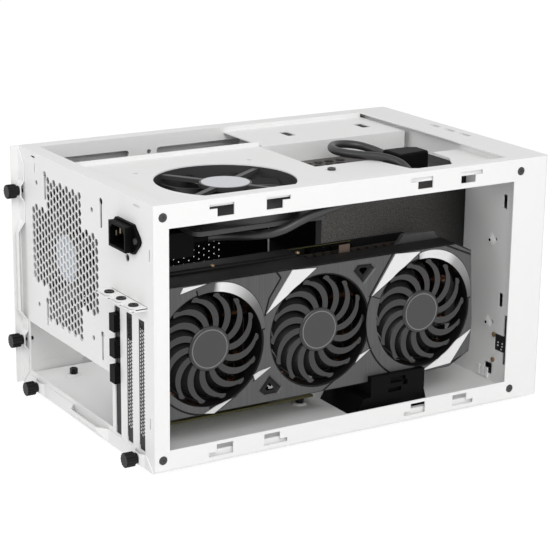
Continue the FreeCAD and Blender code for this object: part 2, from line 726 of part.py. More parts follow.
def seat_bump(edge, inner, middle, turned):
    span = (middle - SEAT_L / 2, middle + SEAT_L / 2)
    flat = edge + (inner - edge) * 0.2
    return dict(across=(edge, inner), along=span, flat=flat, taper=SEAT_TAPER, height=SEAT_H, turned=turned)


def pull_bump(edge, inner, span, turned):
    flat = edge + (inner - edge) * 0.75
    return dict(across=(edge, inner), along=span, flat=flat, taper=PULL_TAPER, height=PULL_H, turned=turned)


def side_hooks():
    """Tabs on the far panel that reach through the frame's slots and catch behind the sheet."""
    hooks = []
    root = X_FAR - PANEL_T
    back = X_FRAME - SHEET - SLIDE_GAP
    for distance, tongue in HOOK_SLOTS:
        if tongue > 0:
            continue
        front = into(distance + SLOT_L) + (TONGUE_L - HOOK_W) / 2
        for z in (Z_TOP - SLOT_RIM - TONGUE_H / 2, Z_BASE + SLOT_RIM + TONGUE_H / 2):
            low = z - PANEL_T / 2
            neck = box(back - PANEL_T, root, front, front + HOOK_W, low, low + PANEL_T)
            toe = box(back - PANEL_T, back, front - HOOK_TOE, front, low, low + PANEL_T)
            hooks += [neck, toe]
    return hooks


def base_hooks():
    """Tabs on the bottom panel that reach through the frames' lower flanges."""
    hooks = []
    root = Z_BASE + PANEL_T
    over = Z_CHASSIS + SHEET + SLIDE_GAP
    for distance, tongue in HOOK_SLOTS:
        if tongue > 0:
            continue
        front = into(distance + SLOT_L) + (TONGUE_L - HOOK_W) / 2
        for side in (-1, 1):
            low = base_hook_x(side) - PANEL_T / 2
            neck = box(low, low + PANEL_T, front, front + HOOK_W, root, over + PANEL_T)
            toe = box(low, low + PANEL_T, front - HOOK_TOE, front, over, over + PANEL_T)
            hooks += [neck, toe]
    return hooks


SIDE_VENT = (262.0, 108.0)
SIDE_VENT_Y = 172.0
SIDE_VENT_Z = 112.0
SIDE_VENT_PITCH = 17.5
SIDE_VENT_HOLE = 13.5
PANEL_FRONT_GAP = 0.4
FILTER_T = 0.8
FILTER_EDGE = 4.0
MITRE_GAP = 0.4


def side_vent_holes(x0, x1):
    """Honeycomb of the far panel's vent."""
    holes = []
    for u, v in honeycomb(SIDE_VENT[0] / 2, SIDE_VENT[1] / 2, SIDE_VENT_PITCH):
        if abs(u) < SIDE_VENT[0] / 2 and abs(v) < SIDE_VENT[1] / 2:
            outline = hexagon(into(SIDE_VENT_Y) + u, up(SIDE_VENT_Z) + v, SIDE_VENT_HOLE)
            holes.append(prism(outline, "x", x0 - 1, x1 + 1))
    return holes


def dust_filter():
    """Thin dark filter sheet that clings to the inside of the far panel's vent."""
    x1 = X_FAR - PANEL_T
    x0 = x1 - FILTER_T
    half_y = SIDE_VENT[0] / 2 + SIDE_VENT_HOLE / 2 + FILTER_EDGE
    half_z = SIDE_VENT[1] / 2 + SIDE_VENT_HOLE / 2 + FILTER_EDGE
    y = into(SIDE_VENT_Y)
    z = up(SIDE_VENT_Z)
    sheet = box(x0, x1, y - half_y, y + half_y, z - half_z, z + half_z)
    return cut(sheet, side_vent_holes(x0, x1))


def far_side_panel():
    x0 = X_FAR - PANEL_T
    y0 = Y_BEZEL + PANEL_FRONT_GAP
    y1 = Y_REAR + SLIDE_GAP
    z0 = Z_BASE + PANEL_T + SLIDE_GAP
    sheet = box(x0, X_FAR, y0, y1 + PANEL_T, z0, Z_TOP)
    inner = X_FAR - PANEL_FLANGE
    corner = Z_BASE + PANEL_FLANGE + MITRE_GAP
    outline = [(X_FAR, z0), (X_FAR, Z_TOP), (inner, Z_TOP - MITRE), (inner, corner),
               (X_FAR - PANEL_T, z0)]
    flange = prism(outline, "y", y1, y1 + PANEL_T)
    bumps = [seat_bump(X_FAR, inner, up(z), False) for z in SIDE_SCREWS_Z]
    bumps.append(pull_bump(X_FAR, inner, (up(SIDE_PULL[0]), up(SIDE_PULL[1])), False))
    flange = pressed(flange, bumps)
    panel = fuse([cut(sheet, side_vent_holes(x0, X_FAR)), flange] + side_hooks())
    shanks = [rod((x, y1 - 1, z), (0, 1, 0), THUMB_SHANK_R + SCREW_GAP, SEAT_H + PANEL_T + 2)
              for x, z in thumbscrew_places()[:2]]
    return cut(panel, shanks)


def bottom_panel():
    y0 = Y_BEZEL + PANEL_FRONT_GAP
    y1 = Y_REAR + SLIDE_GAP
    sheet = box(X_NEAR, X_FAR, y0, y1 + PANEL_T, Z_BASE, Z_BASE + PANEL_T)
    inner = Z_BASE + PANEL_FLANGE
    far_corner = X_FAR - PANEL_FLANGE - MITRE_GAP
    outline = [(X_NEAR, Z_BASE), (X_FAR - PANEL_T - MITRE_GAP, Z_BASE),
               (far_corner, inner), (X_NEAR + MITRE, inner)]
    flange = prism(outline, "y", y1, y1 + PANEL_T)
    bumps = [seat_bump(Z_BASE, inner, x, True) for x in BASE_SCREWS_X]
    bumps.append(pull_bump(Z_BASE, inner, BASE_PULL, True))
    flange = pressed(flange, bumps)
    panel = fuse([sheet, flange] + base_hooks())
    shanks = [rod((x, y1 - 1, z), (0, 1, 0), THUMB_SHANK_R + SCREW_GAP, SEAT_H + PANEL_T + 2)
              for x, z in thumbscrew_places()[2:]]
    return cut(panel, shanks)


def thumbscrew(x, z):
    """Knurled captive screw: fluted head, neck against the seat, shank into the rear panel."""
    seat = Y_REAR + FLANGE_FACE + SEAT_H
    neck = rod((x, seat, z), (0, 1, 0), THUMB_NECK_R, THUMB_NECK)
    shank = rod((x, seat, z), (0, -1, 0), THUMB_SHANK_R, SEAT_H + PANEL_T + THUMB_SHANK)
    outline = []
    for i in range(2 * THUMB_FLUTES):
        spot = polar(THUMB_R - THUMB_FLUTE_DEEP * (i % 2), i * 180.0 / THUMB_FLUTES)
        outline.append((x + spot.x, z + spot.y))
    head = prism(outline, "y", seat + THUMB_NECK, seat + THUMB_NECK + THUMB_HEAD)
    return fuse([neck, head, shank])


def rubber_feet():
    feet = []
    for sx in (-1, 1):
        for y in (Y_BEZEL + FOOT_INSET_Y, Y_REAR - FOOT_INSET_Y):
            x = sx * (CASE_W / 2 - FOOT_INSET_X)
            feet.append(Part.makeCone(FOOT_R - 1.0, FOOT_R, FOOT_H, V(x, y, 0)))
    return group(feet)


# Fans


def blade(inner, outer, sweep, width, twist, depth, lean, tip_round):
    """One fan blade: a round-tipped crescent at the front, the same crescent turned back behind it."""
    middle = (inner + outer) / 2

    def crescent(turn, z):
        lift = V(0, 0, z)
        shoulder = outer - tip_round
        lead = [polar(inner, turn), polar(middle, turn + sweep * lean), polar(shoulder, turn + sweep)]
        trail = [polar(inner, turn + width), polar(middle, turn + sweep * lean + width * 0.8),
                 polar(shoulder, turn + sweep + width * 0.6)]
        lead = [p + lift for p in lead]
        trail = [p + lift for p in trail]
        tip = polar(outer, turn + sweep + width * 0.3) + lift
        edges = [
            Part.Arc(*lead).toShape(),
            Part.Arc(lead[2], tip, trail[2]).toShape(),
            Part.Arc(trail[2], trail[1], trail[0]).toShape(),
            Part.makeLine(trail[0], lead[0]),
        ]
        return Part.Wire(edges)

    return Part.makeLoft([crescent(0.0, 0.0), crescent(twist, -depth)], True, True)


def rotor(hub_r, tip_r, depth, blades, bore_r, bore_deep, **form):
    """Hub cap with swept blades; the front of the hub is at z 0 and the bore opens behind."""
    hub = Part.makeCylinder(hub_r, depth, V(0, 0, -depth))
    edge = [e for e in hub.Edges if abs(e.BoundBox.ZMin) < 1e-6 and abs(e.BoundBox.ZMax) < 1e-6]
    hub = hub.makeFillet(min(1.5, depth / 5), edge)
    one = blade(hub_r - 0.6, tip_r, depth=depth * 0.82, **form)
    one.translate(V(0, 0, -depth * 0.1))
    parts = [hub]
    for i in range(blades):
        copy = one.copy()
        copy.rotate(V(0, 0, 0), V(0, 0, 1), i * 360.0 / blades)
        parts.append(copy)
    whole = parts[0].multiFuse(parts[1:])
    return whole.cut(Part.makeCylinder(bore_r, bore_deep, V(0, 0, -depth)))


def case_fan_frame():
    """Fan housing about the origin: two flanges, a ring, four struts and a motor seat at the front."""
    half = FAN_SIZE / 2
    ring = Part.makeCylinder(FAN_BORE_R + FAN_RING_T, FAN_DEPTH, V(0, 0, -FAN_DEPTH))
    flanges = []
    for z in (-FAN_FLANGE_T, -FAN_DEPTH):
        plate = box(-half, half, -half, half, z, z + FAN_FLANGE_T)
        edges = [e for e in plate.Edges if e.BoundBox.ZLength > FAN_FLANGE_T / 2]
        flanges.append(plate.makeFillet(FAN_SIZE / 2 - FAN_PITCH / 2, edges))
    tools = [Part.makeCylinder(FAN_BORE_R, FAN_DEPTH + 2, V(0, 0, -FAN_DEPTH - 1))]
    for x, y in fan_holes(0.0, 0.0):
        tools.append(Part.makeCylinder(FAN_HOLE_R, FAN_DEPTH + 2, V(x, y, -FAN_DEPTH - 1)))
    shell = cut(fuse([ring] + flanges), tools)
    seat = Part.makeCylinder(FAN_HUB_R, STRUT_T, V(0, 0, -STRUT_T - SHEET))
    post = Part.makeCylinder(POST_R, FAN_DEPTH / 2, V(0, 0, -STRUT_T - SHEET - FAN_DEPTH / 2))
    struts = []
    for i in range(4):
        strut = box(FAN_HUB_R - 1, FAN_BORE_R + FAN_RING_T / 2, -STRUT_W / 2, STRUT_W / 2,
                    -STRUT_T - SHEET, -SHEET)
        strut.rotate(V(0, 0, 0), V(0, 0, 1), 34.0 + 90.0 * i)
        struts.append(strut)
    return fuse([shell, seat, post] + struts)


CASE_BLADES = 9


def case_fan_rotor():
    """Case-fan rotor about the origin, behind the motor seat, with the blades' front facing back."""
    depth = FAN_DEPTH - STRUT_T - SHEET - HUB_GAP - 1.0
    wheel = rotor(FAN_HUB_R - 1.0, FAN_BORE_R - FAN_TIP_GAP, depth, CASE_BLADES,
                  POST_R + POST_GAP, FAN_DEPTH / 2 + HUB_GAP, sweep=26.0, width=5.0, twist=-30.0, lean=0.35,
                  tip_round=0.6)
    wheel.rotate(V(0, 0, 0), V(1, 0, 0), 180)
    wheel.translate(V(0, 0, -STRUT_T - SHEET - HUB_GAP - depth))
    return wheel


def top_fan(shape):
    return placed(shape, (TOP_FAN_X, into(TOP_FAN_Y), PLATE_UNDER), (0, 0, 1))


def rear_fan(shape):
    return placed(shape, (REAR_FAN_X, into(SHEET), up(REAR_FAN_Z)), (0, 1, 0))


# Power


def power_inlet():
    """Panel socket: flange with pointed ears, rimmed mouth, and a long moulded housing inside."""
    z = up(INLET_Z)
    y0 = into(0)
    half_w = INLET_W / 2
    half_h = INLET_H / 2
    ears = [(-half_w, 0), (-half_w + 2, -3.5), (-14.5, -half_h), (14.5, -half_h), (half_w - 2, -3.5),
            (half_w, 0), (half_w - 2, 3.5), (14.5, half_h), (-14.5, half_h), (-half_w + 2, 3.5)]
    flange = prism([(INLET_X + u, z + v) for u, v in ears], "y", y0, y0 + 2.5)
    rim = prism(inlet_cut_outline(0.0), "y", into(HOUSING_L / 2), y0 + INLET_OUT)
    middle = z - HOUSING_DROP
    housing = box(INLET_X - HOUSING_W / 2, INLET_X + HOUSING_W / 2, into(HOUSING_L), into(SHEET + 0.2),
                  middle - HOUSING_H / 2, middle + HOUSING_H / 2)
    w = INLET_MOUTH[0] / 2
    h = INLET_MOUTH[1] / 2
    mouth = [(-w, -h), (w, -h), (w, h - 4), (w - 4, h), (-w + 4, h), (-w, h - 4)]
    deep = y0 + INLET_OUT - INLET_MOUTH_DEPTH
    tools = [prism([(INLET_X + u, z + v) for u, v in mouth], "y", deep, y0 + INLET_OUT + 1)]
    for side in (-1, 1):
        tools.append(rod((INLET_X + side * INLET_SCREWS / 2, y0 - 1, z), (0, 1, 0), SCREW_R + SCREW_GAP, 5))
    return cut(fuse([flange, rim, housing]), tools)


def inlet_pins():
    z = up(INLET_Z)
    deep = into(0) + INLET_OUT - INLET_MOUTH_DEPTH
    reach = deep + INLET_MOUTH_DEPTH - 3.0
    places = ((-7.0, 1.0), (7.0, 1.0), (0.0, 4.0))
    return group([box(INLET_X + u - 1, INLET_X + u + 1, deep, reach, z + v - 2, z + v + 2)
                  for u, v in places])


def inlet_screws():
    screws = []
    for side in (-1, 1):
        x = INLET_X + side * INLET_SCREWS / 2
        head = rod((x, into(0) + 2.5, up(INLET_Z)), (0, 1, 0), 2.4, 1.4)
        shank = rod((x, into(0) + 2.5, up(INLET_Z)), (0, -1, 0), SCREW_R, 6.0)
        screws.append(fuse([head, shank]))
    return group(screws)


# Middle line of the inner power lead, from the boot behind the inlet to the plug on the supply:
# in from the open side, in from the rear face, down from the top rim
LEAD_START = (INLET_X, HOUSING_L + BOOT_L, INLET_Z - HOUSING_DROP)
LEAD_ROUTE = (
    (43.0, 77.0, 42.0), (37.0, 87.0, 41.6), (22.0, 99.0, 39.8), (9.4, 114.0, 36.2), (6.0, 135.0, 26.4),
    (6.4, 160.0, 20.8), (8.4, 186.0, 17.8), (13.6, 212.0, 15.8), (22.6, 236.0, 14.6),
    (36.0, 255.0, 14.0), (50.0, 264.0, 11.4), (64.0, 263.0, 6.4), (76.4, 254.0, 3.6), (89.6, 239.6, 3.6),
    (108.4, 231.0, 3.6), (128.4, 236.0, 3.7), (140.0, 252.0, 4.4), (136.0, 270.0, 6.4),
    (121.0, 279.0, 9.6),
)
LEAD_END = (PLUG_X + PLUG_SIZE[0] / 2, PLUG_Y - 8.0, PSU_TOP + 9.5)


def lead_points():
    route = [(X_NEAR + inside, distance, CASE_H - drop) for inside, distance, drop in LEAD_ROUTE]
    entry = (LEAD_END[0] + 12.0, LEAD_END[1], LEAD_END[2])
    return [V(x, into(d), up(h)) for x, d, h in [LEAD_START] + route + [entry, LEAD_END]]


def cord(points, radius):
    """Round cord along straight runs with the largest tangent arcs that fit between them."""
    edges = []
    here = points[0]
    for before, corner, after in zip(points, points[1:], points[2:]):
        back = (before - corner).normalize()
        on = (after - corner).normalize()
        half_turn = (math.pi - back.getAngle(on)) / 2
        trim = 0.45 * min(before.distanceToPoint(corner), corner.distanceToPoint(after))
        bend = trim / math.tan(half_turn)
        print("lead bend radius", round(bend, 1))
        start = corner + back * trim
        end = corner + on * trim
        middle_way = (back + on).normalize()
        middle = corner + middle_way * (bend / math.cos(half_turn) - bend)
        edges.append(Part.LineSegment(here, start).toShape())
        edges.append(Part.Arc(start, middle, end).toShape())
        here = end
    edges.append(Part.LineSegment(here, points[-1]).toShape())
    path = Part.Wire(edges)
    circle = Part.Wire(Part.makeCircle(radius, points[0], points[1] - points[0]))
    tube = path.makePipeShell([circle], True, False)
    whole = tube.Volume / (math.pi * radius ** 2 * path.Length)
    print("lead length", round(path.Length, 1), "volume over section times length", round(whole, 4))
    return tube


def lead_boot():
    start = V(INLET_X, into(HOUSING_L), up(INLET_Z - HOUSING_DROP))
    return Part.makeCone(BOOT_R, LEAD_R + 0.6, BOOT_L, start, V(0, -1, 0))


def power_plug():
    """Low right-angled plug on the supply's socket, with the lead entering from its far side."""
    w, l, h = PLUG_SIZE
    z0 = up(PSU_TOP)
    y = into(PLUG_Y)
    outline = [(PLUG_X - w / 2, y + l / 2), (PLUG_X - w / 2 + 5, y - l / 2), (PLUG_X + w / 2 - 5, y - l / 2),
               (PLUG_X + w / 2, y - l / 2 + 8), (PLUG_X + w / 2, y + l / 2)]
    body = prism(outline, "z", z0, z0 + h)
    top = [e for e in body.Edges if e.BoundBox.ZMin > z0 + h - 1e-6]
    return body.makeFillet(2.0, top)


def psu_body():
    """Steel box of the power supply: a shell with a honeycomb exhaust in its upper face."""
    top = up(PSU_TOP)
    low = top - PSU_H
    rear = into(PSU_Y[0])
    front = into(PSU_Y[1])
    body = box(PSU_X[0], PSU_X[1], front, rear, low, top)
    edges = [e for e in body.Edges if e.BoundBox.YLength > PSU_H / 2]
    body = body.makeFillet(PSU_EDGE_R, edges)
    wall = PSU_WALL
    tools = [box(PSU_X[0] + wall, PSU_X[1] - wall, front + wall, rear - wall, low + wall, top - wall)]
    half_x = (PSU_X[1] - PSU_X[0]) / 2 - PSU_RIM
    half_y = (rear - into(PSU_VENT_END)) / 2 - PSU_RIM
    for u, v in honeycomb(half_x, half_y, VENT_PITCH):
        if abs(u) < half_x and abs(v) < half_y:
            outline = hexagon(sum(PSU_X) / 2 + u, (rear + into(PSU_VENT_END)) / 2 + v, VENT_HOLE)
            tools.append(prism(outline, "z", top - wall - 1, top + 1))
    return cut(body, tools)


# Front


def front_bezel():
    """Moulded front: a shallow tray, open at the back, with slots in its top edge."""
    body = box(X_NEAR, X_FAR, Y_FRONT, Y_BEZEL, Z_BASE, Z_TOP)
    edges = [e for e in body.Edges
             if e.BoundBox.ZLength > CASE_H / 2 and abs(e.BoundBox.YMin - Y_FRONT) < 1e-6]
    body = body.makeFillet(BEZEL_R, edges)
    wall = BEZEL_WALL
    tools = [box(X_NEAR + wall, X_FAR - wall, Y_FRONT + wall, Y_BEZEL + 1, Z_BASE + wall, Z_TOP - wall)]
    w, d = BEZEL_SLOT
    y = Y_BEZEL - BEZEL_T / 2
    for x in BEZEL_SLOTS_X:
        tools.append(box(x - w / 2, x + w / 2, y - d / 2, y + d / 2, Z_TOP - wall - 1, Z_TOP + 1))
    front = (0, 1, 0)
    tools.append(rod((CONTROL_X, Y_FRONT - 1, up(BUTTON_Z)), front, BUTTON_R + BUTTON_GAP, wall + 2))
    for z in USB_Z:
        w = USB_SIZE[0] / 2 + BUTTON_GAP
        h = USB_SIZE[1] / 2 + BUTTON_GAP
        tools.append(box(CONTROL_X - w, CONTROL_X + w, Y_FRONT - 1, Y_FRONT + wall + 1, up(z) - h, up(z) + h))
    tools.append(rod((CONTROL_X, Y_FRONT - 1, up(JACK_Z)), front, JACK_R + BUTTON_GAP, wall + 2))
    return cut(body, tools)


IO_BOARD_FRONT = WALL_Y + SHEET + BOARD_T


def front_io_board():
    return box(X_NEAR + 3.0, X_NEAR + 26.0, into(IO_BOARD_FRONT), into(WALL_Y + SHEET), up(26.0), up(74.0))


def front_ports():
    """Two flat sockets and a round one, from the board to the bezel's face."""
    back = into(IO_BOARD_FRONT)
    face = Y_FRONT + 0.4
    ports = []
    w, h = USB_SIZE
    for z in USB_Z:
        shell = box(CONTROL_X - w / 2, CONTROL_X + w / 2, face, back, up(z) - h / 2, up(z) + h / 2)
        mouth = box(CONTROL_X - w / 2 + 0.6, CONTROL_X + w / 2 - 0.6, face - 1, face + 9, up(z) - h / 2 + 0.6,
                    up(z) + h / 2 - 0.6)
        tongue = box(CONTROL_X - w / 2 + 1.2, CONTROL_X + w / 2 - 1.2, face + 1.5, face + 9, up(z) - 0.2,
                     up(z) + 1.6)
        ports.append(shell.cut(mouth).fuse(tongue))
    jack = rod((CONTROL_X, face, up(JACK_Z)), (0, 1, 0), JACK_R, back - face)
    ports.append(jack.cut(rod((CONTROL_X, face - 1, up(JACK_Z)), (0, 1, 0), 1.8, 10)))
    return group(ports)


def power_button():
    """Cap, catch behind the bezel and stem; it is pushed in towards +Y."""
    z = up(BUTTON_Z)
    catch = Y_FRONT + BEZEL_WALL + BUTTON_GAP
    cap = rod((CONTROL_X, Y_FRONT + 0.3, z), (0, 1, 0), BUTTON_R, catch - Y_FRONT)
    flange = rod((CONTROL_X, catch, z), (0, 1, 0), BUTTON_R + 1.6, 1.4)
    stem = rod((CONTROL_X, catch, z), (0, 1, 0), 2.0, switch_face() - BUTTON_TRAVEL - 0.3 - catch)
    return fuse([cap, flange, stem])


def switch_face():
    return into(IO_BOARD_FRONT) - 6.0


def power_switch():
    z = up(BUTTON_Z)
    body = box(CONTROL_X - 3.5, CONTROL_X + 3.5, switch_face() + 1.5, into(IO_BOARD_FRONT), z - 3.5, z + 3.5)
    plunger = rod((CONTROL_X, switch_face(), z), (0, 1, 0), 1.6, 2.0)
    return fuse([body, plunger])


# Graphics card


def card_point(distance, height):
    return into(distance), up(height)


def card_outline(inset):
    """The shroud's outline in y and z, with cut corners and a shallow point at its front end."""
    rear = CARD_Y[0] + inset
    front = CARD_Y[1] - inset
    low = CARD_Z[0] + inset
    high = CARD_Z[1] - inset
    c = CARD_CORNER
    return [card_point(d, h) for d, h in (
        (rear, low), (front - 1.6 * c, low), (front - 2.0, low + 0.75 * c),
        (front, (low + high) / 2 - 20.0), (front - 4.0, high - 0.55 * c), (front - 1.4 * c, high),
        (rear + 0.9 * c, high), (rear, high - 0.5 * c))]


def card_shroud():
    """Moulded cover: face plate with three round openings, ducts behind them and a skirt."""
    face = CARD_FACE_X
    back = face + CARD_SHROUD_DEEP
    body = prism(card_outline(0.0), "x", face, back)
    hollow = prism(card_outline(CARD_SHROUD_T), "x", face + CARD_SHROUD_T, back + 1)
    shell = body.cut(hollow)
    ducts = []
    tools = []
    for distance in CARD_FANS_Y:
        place = (face + CARD_SHROUD_T / 2, into(distance), up(CARD_FAN_Z))
        ducts.append(rod(place, (1, 0, 0), CARD_DUCT_R + CARD_DUCT_T, CARD_SHROUD_DEEP * 0.75))
        through = (face - 1, into(distance), up(CARD_FAN_Z))
        tools.append(rod(through, (1, 0, 0), CARD_DUCT_R, CARD_SHROUD_DEEP + 2))
    roof_rear = CARD_Y[0] + CARD_CORNER
    roof = box(face + CARD_SHROUD_T, BOARD_X - CARD_ROOF_GAP, into(CARD_ROOF_END), into(roof_rear),
               up(CARD_Z[1]) - CARD_SHROUD_T, up(CARD_Z[1]))
    rail = rod((BOARD_X - CARD_RAIL_IN, into(CARD_ROOF_END - 5.0), up(CARD_Z[1])), (0, 1, 0),
               CARD_RAIL_R, CARD_ROOF_END - roof_rear - 12.0)
    rail = rail.cut(box(face, BOARD_X, into(CARD_ROOF_END), into(0), up(CARD_Z[1]) - 2 * CARD_RAIL_R,
                        up(CARD_Z[1]) - CARD_SHROUD_T / 2))
    return cut_in_turn(cut(fuse([shell, roof, rail] + ducts), tools), pocket_tools())


POCKETS = (
    ((184.2, 132.2), (188.7, 137.2), (203.9, 136.8), (208.2, 132.2), (195.6, 119.0)),
    ((97.6, 45.8), (108.8, 59.0), (121.2, 45.9), (117.1, 40.8), (103.0, 40.8)),
)
POCKET_FLOOR = 0.62     # a pocket's floor as a share of its rim
POCKET_EYE = 0.34       # the hole in the floor, likewise


def pocket_tools():
    """Recesses in the card's face with sloping sides and a small hole in each floor."""
    rim_x = CARD_FACE_X - TRIM_T
    floor_x = CARD_FACE_X + POCKET_DEEP
    tools = []
    for corners in POCKETS:
        middle = [sum(c[i] for c in corners) / len(corners) for i in (0, 1)]

        def ring(share, x):
            wire = []
            for d, h in corners:
                spot = (middle[0] + share * (d - middle[0]), middle[1] + share * (h - middle[1]))
                wire.append(V(x, *card_point(*spot)))
            return Part.makePolygon(wire + wire[:1])

        tools.append(Part.makeLoft([ring(1.0, rim_x), ring(POCKET_FLOOR, floor_x)], True, True))
        eye = Part.Face(ring(POCKET_EYE, floor_x - 0.1))
        tools.append(eye.extrude(V(CARD_SHROUD_T, 0, 0)))
    return tools


def trim_plates():
    """Outlines of the pale plates on the shroud's face: distance and height of each corner."""
    return (
        ((128.3, 141.0), (150.6, 139.8), (124.6, 121.6), (104.9, 108.6)),
        ((226.2, 141.0), (250.8, 139.8), (224.6, 121.8), (204.2, 108.6)),
        ((31.5, 140.2), (51.5, 140.6), (29.0, 135.6)),
        ((94.0, 55.8), (95.2, 60.8), (103.0, 63.4)),
        ((50.0, 36.2), (61.0, 36.2), (77.0, 45.0), (62.0, 41.0)),
        ((306.0, 65.0), (285.5, 38.4), (257.0, 36.4), (274.0, 44.5), (292.0, 58.0)),
        ((190.0, 54.6), (194.2, 60.4), (203.6, 63.8)),
    )


def arc_plate(distance, start, end, inner, outer):
    """Part of a flat ring round a fan opening; angles from the front, towards the top."""
    face = CARD_FACE_X
    middle = V(face - TRIM_T, into(distance), up(CARD_FAN_Z))

    def spot(radius, degrees):
        turn = math.radians(degrees)
        return middle + V(0, -radius * math.cos(turn), radius * math.sin(turn))

    half = (start + end) / 2
    wide = (inner + outer) / 2
    edges = [
        Part.Arc(spot(inner, start), spot(inner, half), spot(inner, end)).toShape(),
        Part.makeLine(spot(inner, end), spot(wide + 1.0, end)),
        Part.Arc(spot(wide + 1.0, end), spot(outer, half), spot(wide - 1.0, start)).toShape(),
        Part.makeLine(spot(wide - 1.0, start), spot(inner, start)),
    ]
    return Part.Face(Part.Wire(edges)).extrude(V(TRIM_T, 0, 0))


def ring_plate(distance, start, end, inner, outer):
    """Part of a flat ring of even width round a fan opening."""
    face = CARD_FACE_X
    axis = (face - TRIM_T, into(distance), up(CARD_FAN_Z))
    disc = rod(axis, (1, 0, 0), outer, TRIM_T).cut(rod((face - 1, axis[1], axis[2]), (1, 0, 0), inner, 2))
    reach = 3 * outer
    steps = 4
    fan = [(axis[1], axis[2])]
    for i in range(steps + 1):
        spot = polar(reach, start + (end - start) * i / steps)
        fan.append((axis[1] - spot.x, axis[2] + spot.y))
    return disc.common(prism(fan, "x", face - 1, face + 1))


def seam(points, width):
    """Gap along a bent line on the card's face, between two of its plates."""
    tools = []
    for (d0, h0), (d1, h1) in zip(points, points[1:]):
        length = math.hypot(d1 - d0, h1 - h0)
        u = (h0 - h1) / length * width / 2
        v = (d1 - d0) / length * width / 2
        corners = [(d0 + u, h0 + v), (d1 + u, h1 + v), (d1 - u, h1 - v), (d0 - u, h0 - v)]
        outline = [card_point(d, h) for d, h in corners]
        tools.append(prism(outline, "x", CARD_FACE_X - TRIM_T - 1, CARD_FACE_X + 1))
    return tools


# Seams between the face plates: distance and height of each bend
FACE_SEAMS = (
    ((103.4, 107.4), (107.3, 121.1), (117.7, 136.1), (112.0, 144.0)),
    ((201.4, 108.0), (224.4, 143.0)),
    ((46.0, 34.4), (63.0, 43.3), (98.0, 61.0)),
    ((157.0, 34.8), (180.7, 50.4), (190.0, 55.6)),
    ((274.0, 143.0), (306.0, 129.2)),
    ((285.0, 38.4), (308.0, 46.4)),
)
RINGS = ((0, 172.0, 268.0, 5.4), (2, 158.0, 262.0, 9.6))    # fan, from, to, width


def card_face_plates():
    """Flat plates on the shroud's face, with dark gaps round the fans, the trim and each other."""
    face = CARD_FACE_X
    front = face - TRIM_T
    inner = CARD_DUCT_R + 0.2
    whole = prism(card_outline(FACE_EDGE), "x", front, face)
    beside_trim = []
    for outline in trim_plates():
        corners = [V(front, *card_point(d, h)) for d, h in outline]
        plate = Part.Face(Part.makePolygon(corners + corners[:1]))
        beside_trim.append(plate.makeOffset2D(TRIM_GAP, join=2).extrude(V(TRIM_T, 0, 0)))
    tools = [rod((face - 2, into(d), up(CARD_FAN_Z)), (1, 0, 0), inner + 1.0, 4) for d in CARD_FANS_Y]
    tools += beside_trim
    for fan, start, end in ARCS:
        tools.append(arc_plate(CARD_FANS_Y[fan], start - 1.5, end + 1.5, inner - 1.0,
                               inner + ARC_W + TRIM_GAP))
    rings = []
    for fan, start, end, width in RINGS:
        distance = CARD_FANS_Y[fan]
        tools.append(ring_plate(distance, start - 1.0, end + 1.0, inner - 1.0, inner + width + FACE_SEAM))
        ring = ring_plate(distance, start, end, inner, inner + width).common(whole)
        rings += cut_in_turn(ring, beside_trim).Solids
    for points in FACE_SEAMS:
        tools += seam(points, FACE_SEAM)
    plates = cut_in_turn(whole, tools + pocket_tools()).Solids + rings
    return group([plate for plate in plates if plate.Volume > OFFCUT_AREA * TRIM_T])


ARCS = ((0, 12.0, 104.0), (2, 8.0, 96.0))       # fan, from, to
ARC_W = 7.8


def card_trim():
    face = CARD_FACE_X
    clear = group([rod((face - 2, into(d), up(CARD_FAN_Z)), (1, 0, 0), CARD_DUCT_R + 0.2, 4)
                   for d in CARD_FANS_Y])
    plates = []
    for outline in trim_plates():
        plate = prism([card_point(d, h) for d, h in outline], "x", face - TRIM_T, face)
        plates += plate.cut(clear).Solids
    inner = CARD_DUCT_R + 0.2
    for fan, start, end in ARCS:
        plates.append(arc_plate(CARD_FANS_Y[fan], start, end, inner, inner + ARC_W))
    return group(plates)


def card_fan_place(distance):
    return (CARD_FACE_X + CARD_FAN_SETBACK, into(distance), up(CARD_FAN_Z))


CARRIER_R = 15.0
CARRIER_T = 3.0
CARRIER_GAP = 0.1


def card_fan_carriers():
    """Motor seats behind the card's fans, each on three arms from the duct."""
    back = -CARD_FAN_DEEP - HUB_GAP
    seat = Part.makeCylinder(CARRIER_R, CARRIER_T, V(0, 0, back - CARRIER_T))
    post = Part.makeCylinder(POST_R, CARD_FAN_DEEP * 0.6, V(0, 0, back))
    arms = []
    for i in range(3):
        arm = box(CARRIER_R - 1, CARD_DUCT_R + 2, -2.5, 2.5, back - CARRIER_T, back)
        arm.rotate(V(0, 0, 0), V(0, 0, 1), 90.0 + 120.0 * i)
        arms.append(arm)
    duct = Part.makeCylinder(CARD_DUCT_R - CARRIER_GAP, CARD_SHROUD_DEEP, V(0, 0, -CARD_SHROUD_DEEP))
    spider = fuse([seat, post] + [arm.common(duct) for arm in arms])
    return group([placed(spider, card_fan_place(d), (-1, 0, 0)) for d in CARD_FANS_Y])


def card_fan():
    return rotor(CARD_HUB_R, CARD_FAN_R, CARD_FAN_DEEP, CARD_BLADES, POST_R + POST_GAP,
                 CARD_FAN_DEEP * 0.6 + HUB_GAP, sweep=38.0, width=15.0, twist=-13.0, lean=0.36,
                 tip_round=2.4)


def pipe_places():
    x = CARD_FACE_X + CARD_SHROUD_DEEP + 8.0
    return [(x, up(z)) for z in (47.0, 68.0, 104.0, 127.0)]


PIPE_Y = (14.0, 298.0)


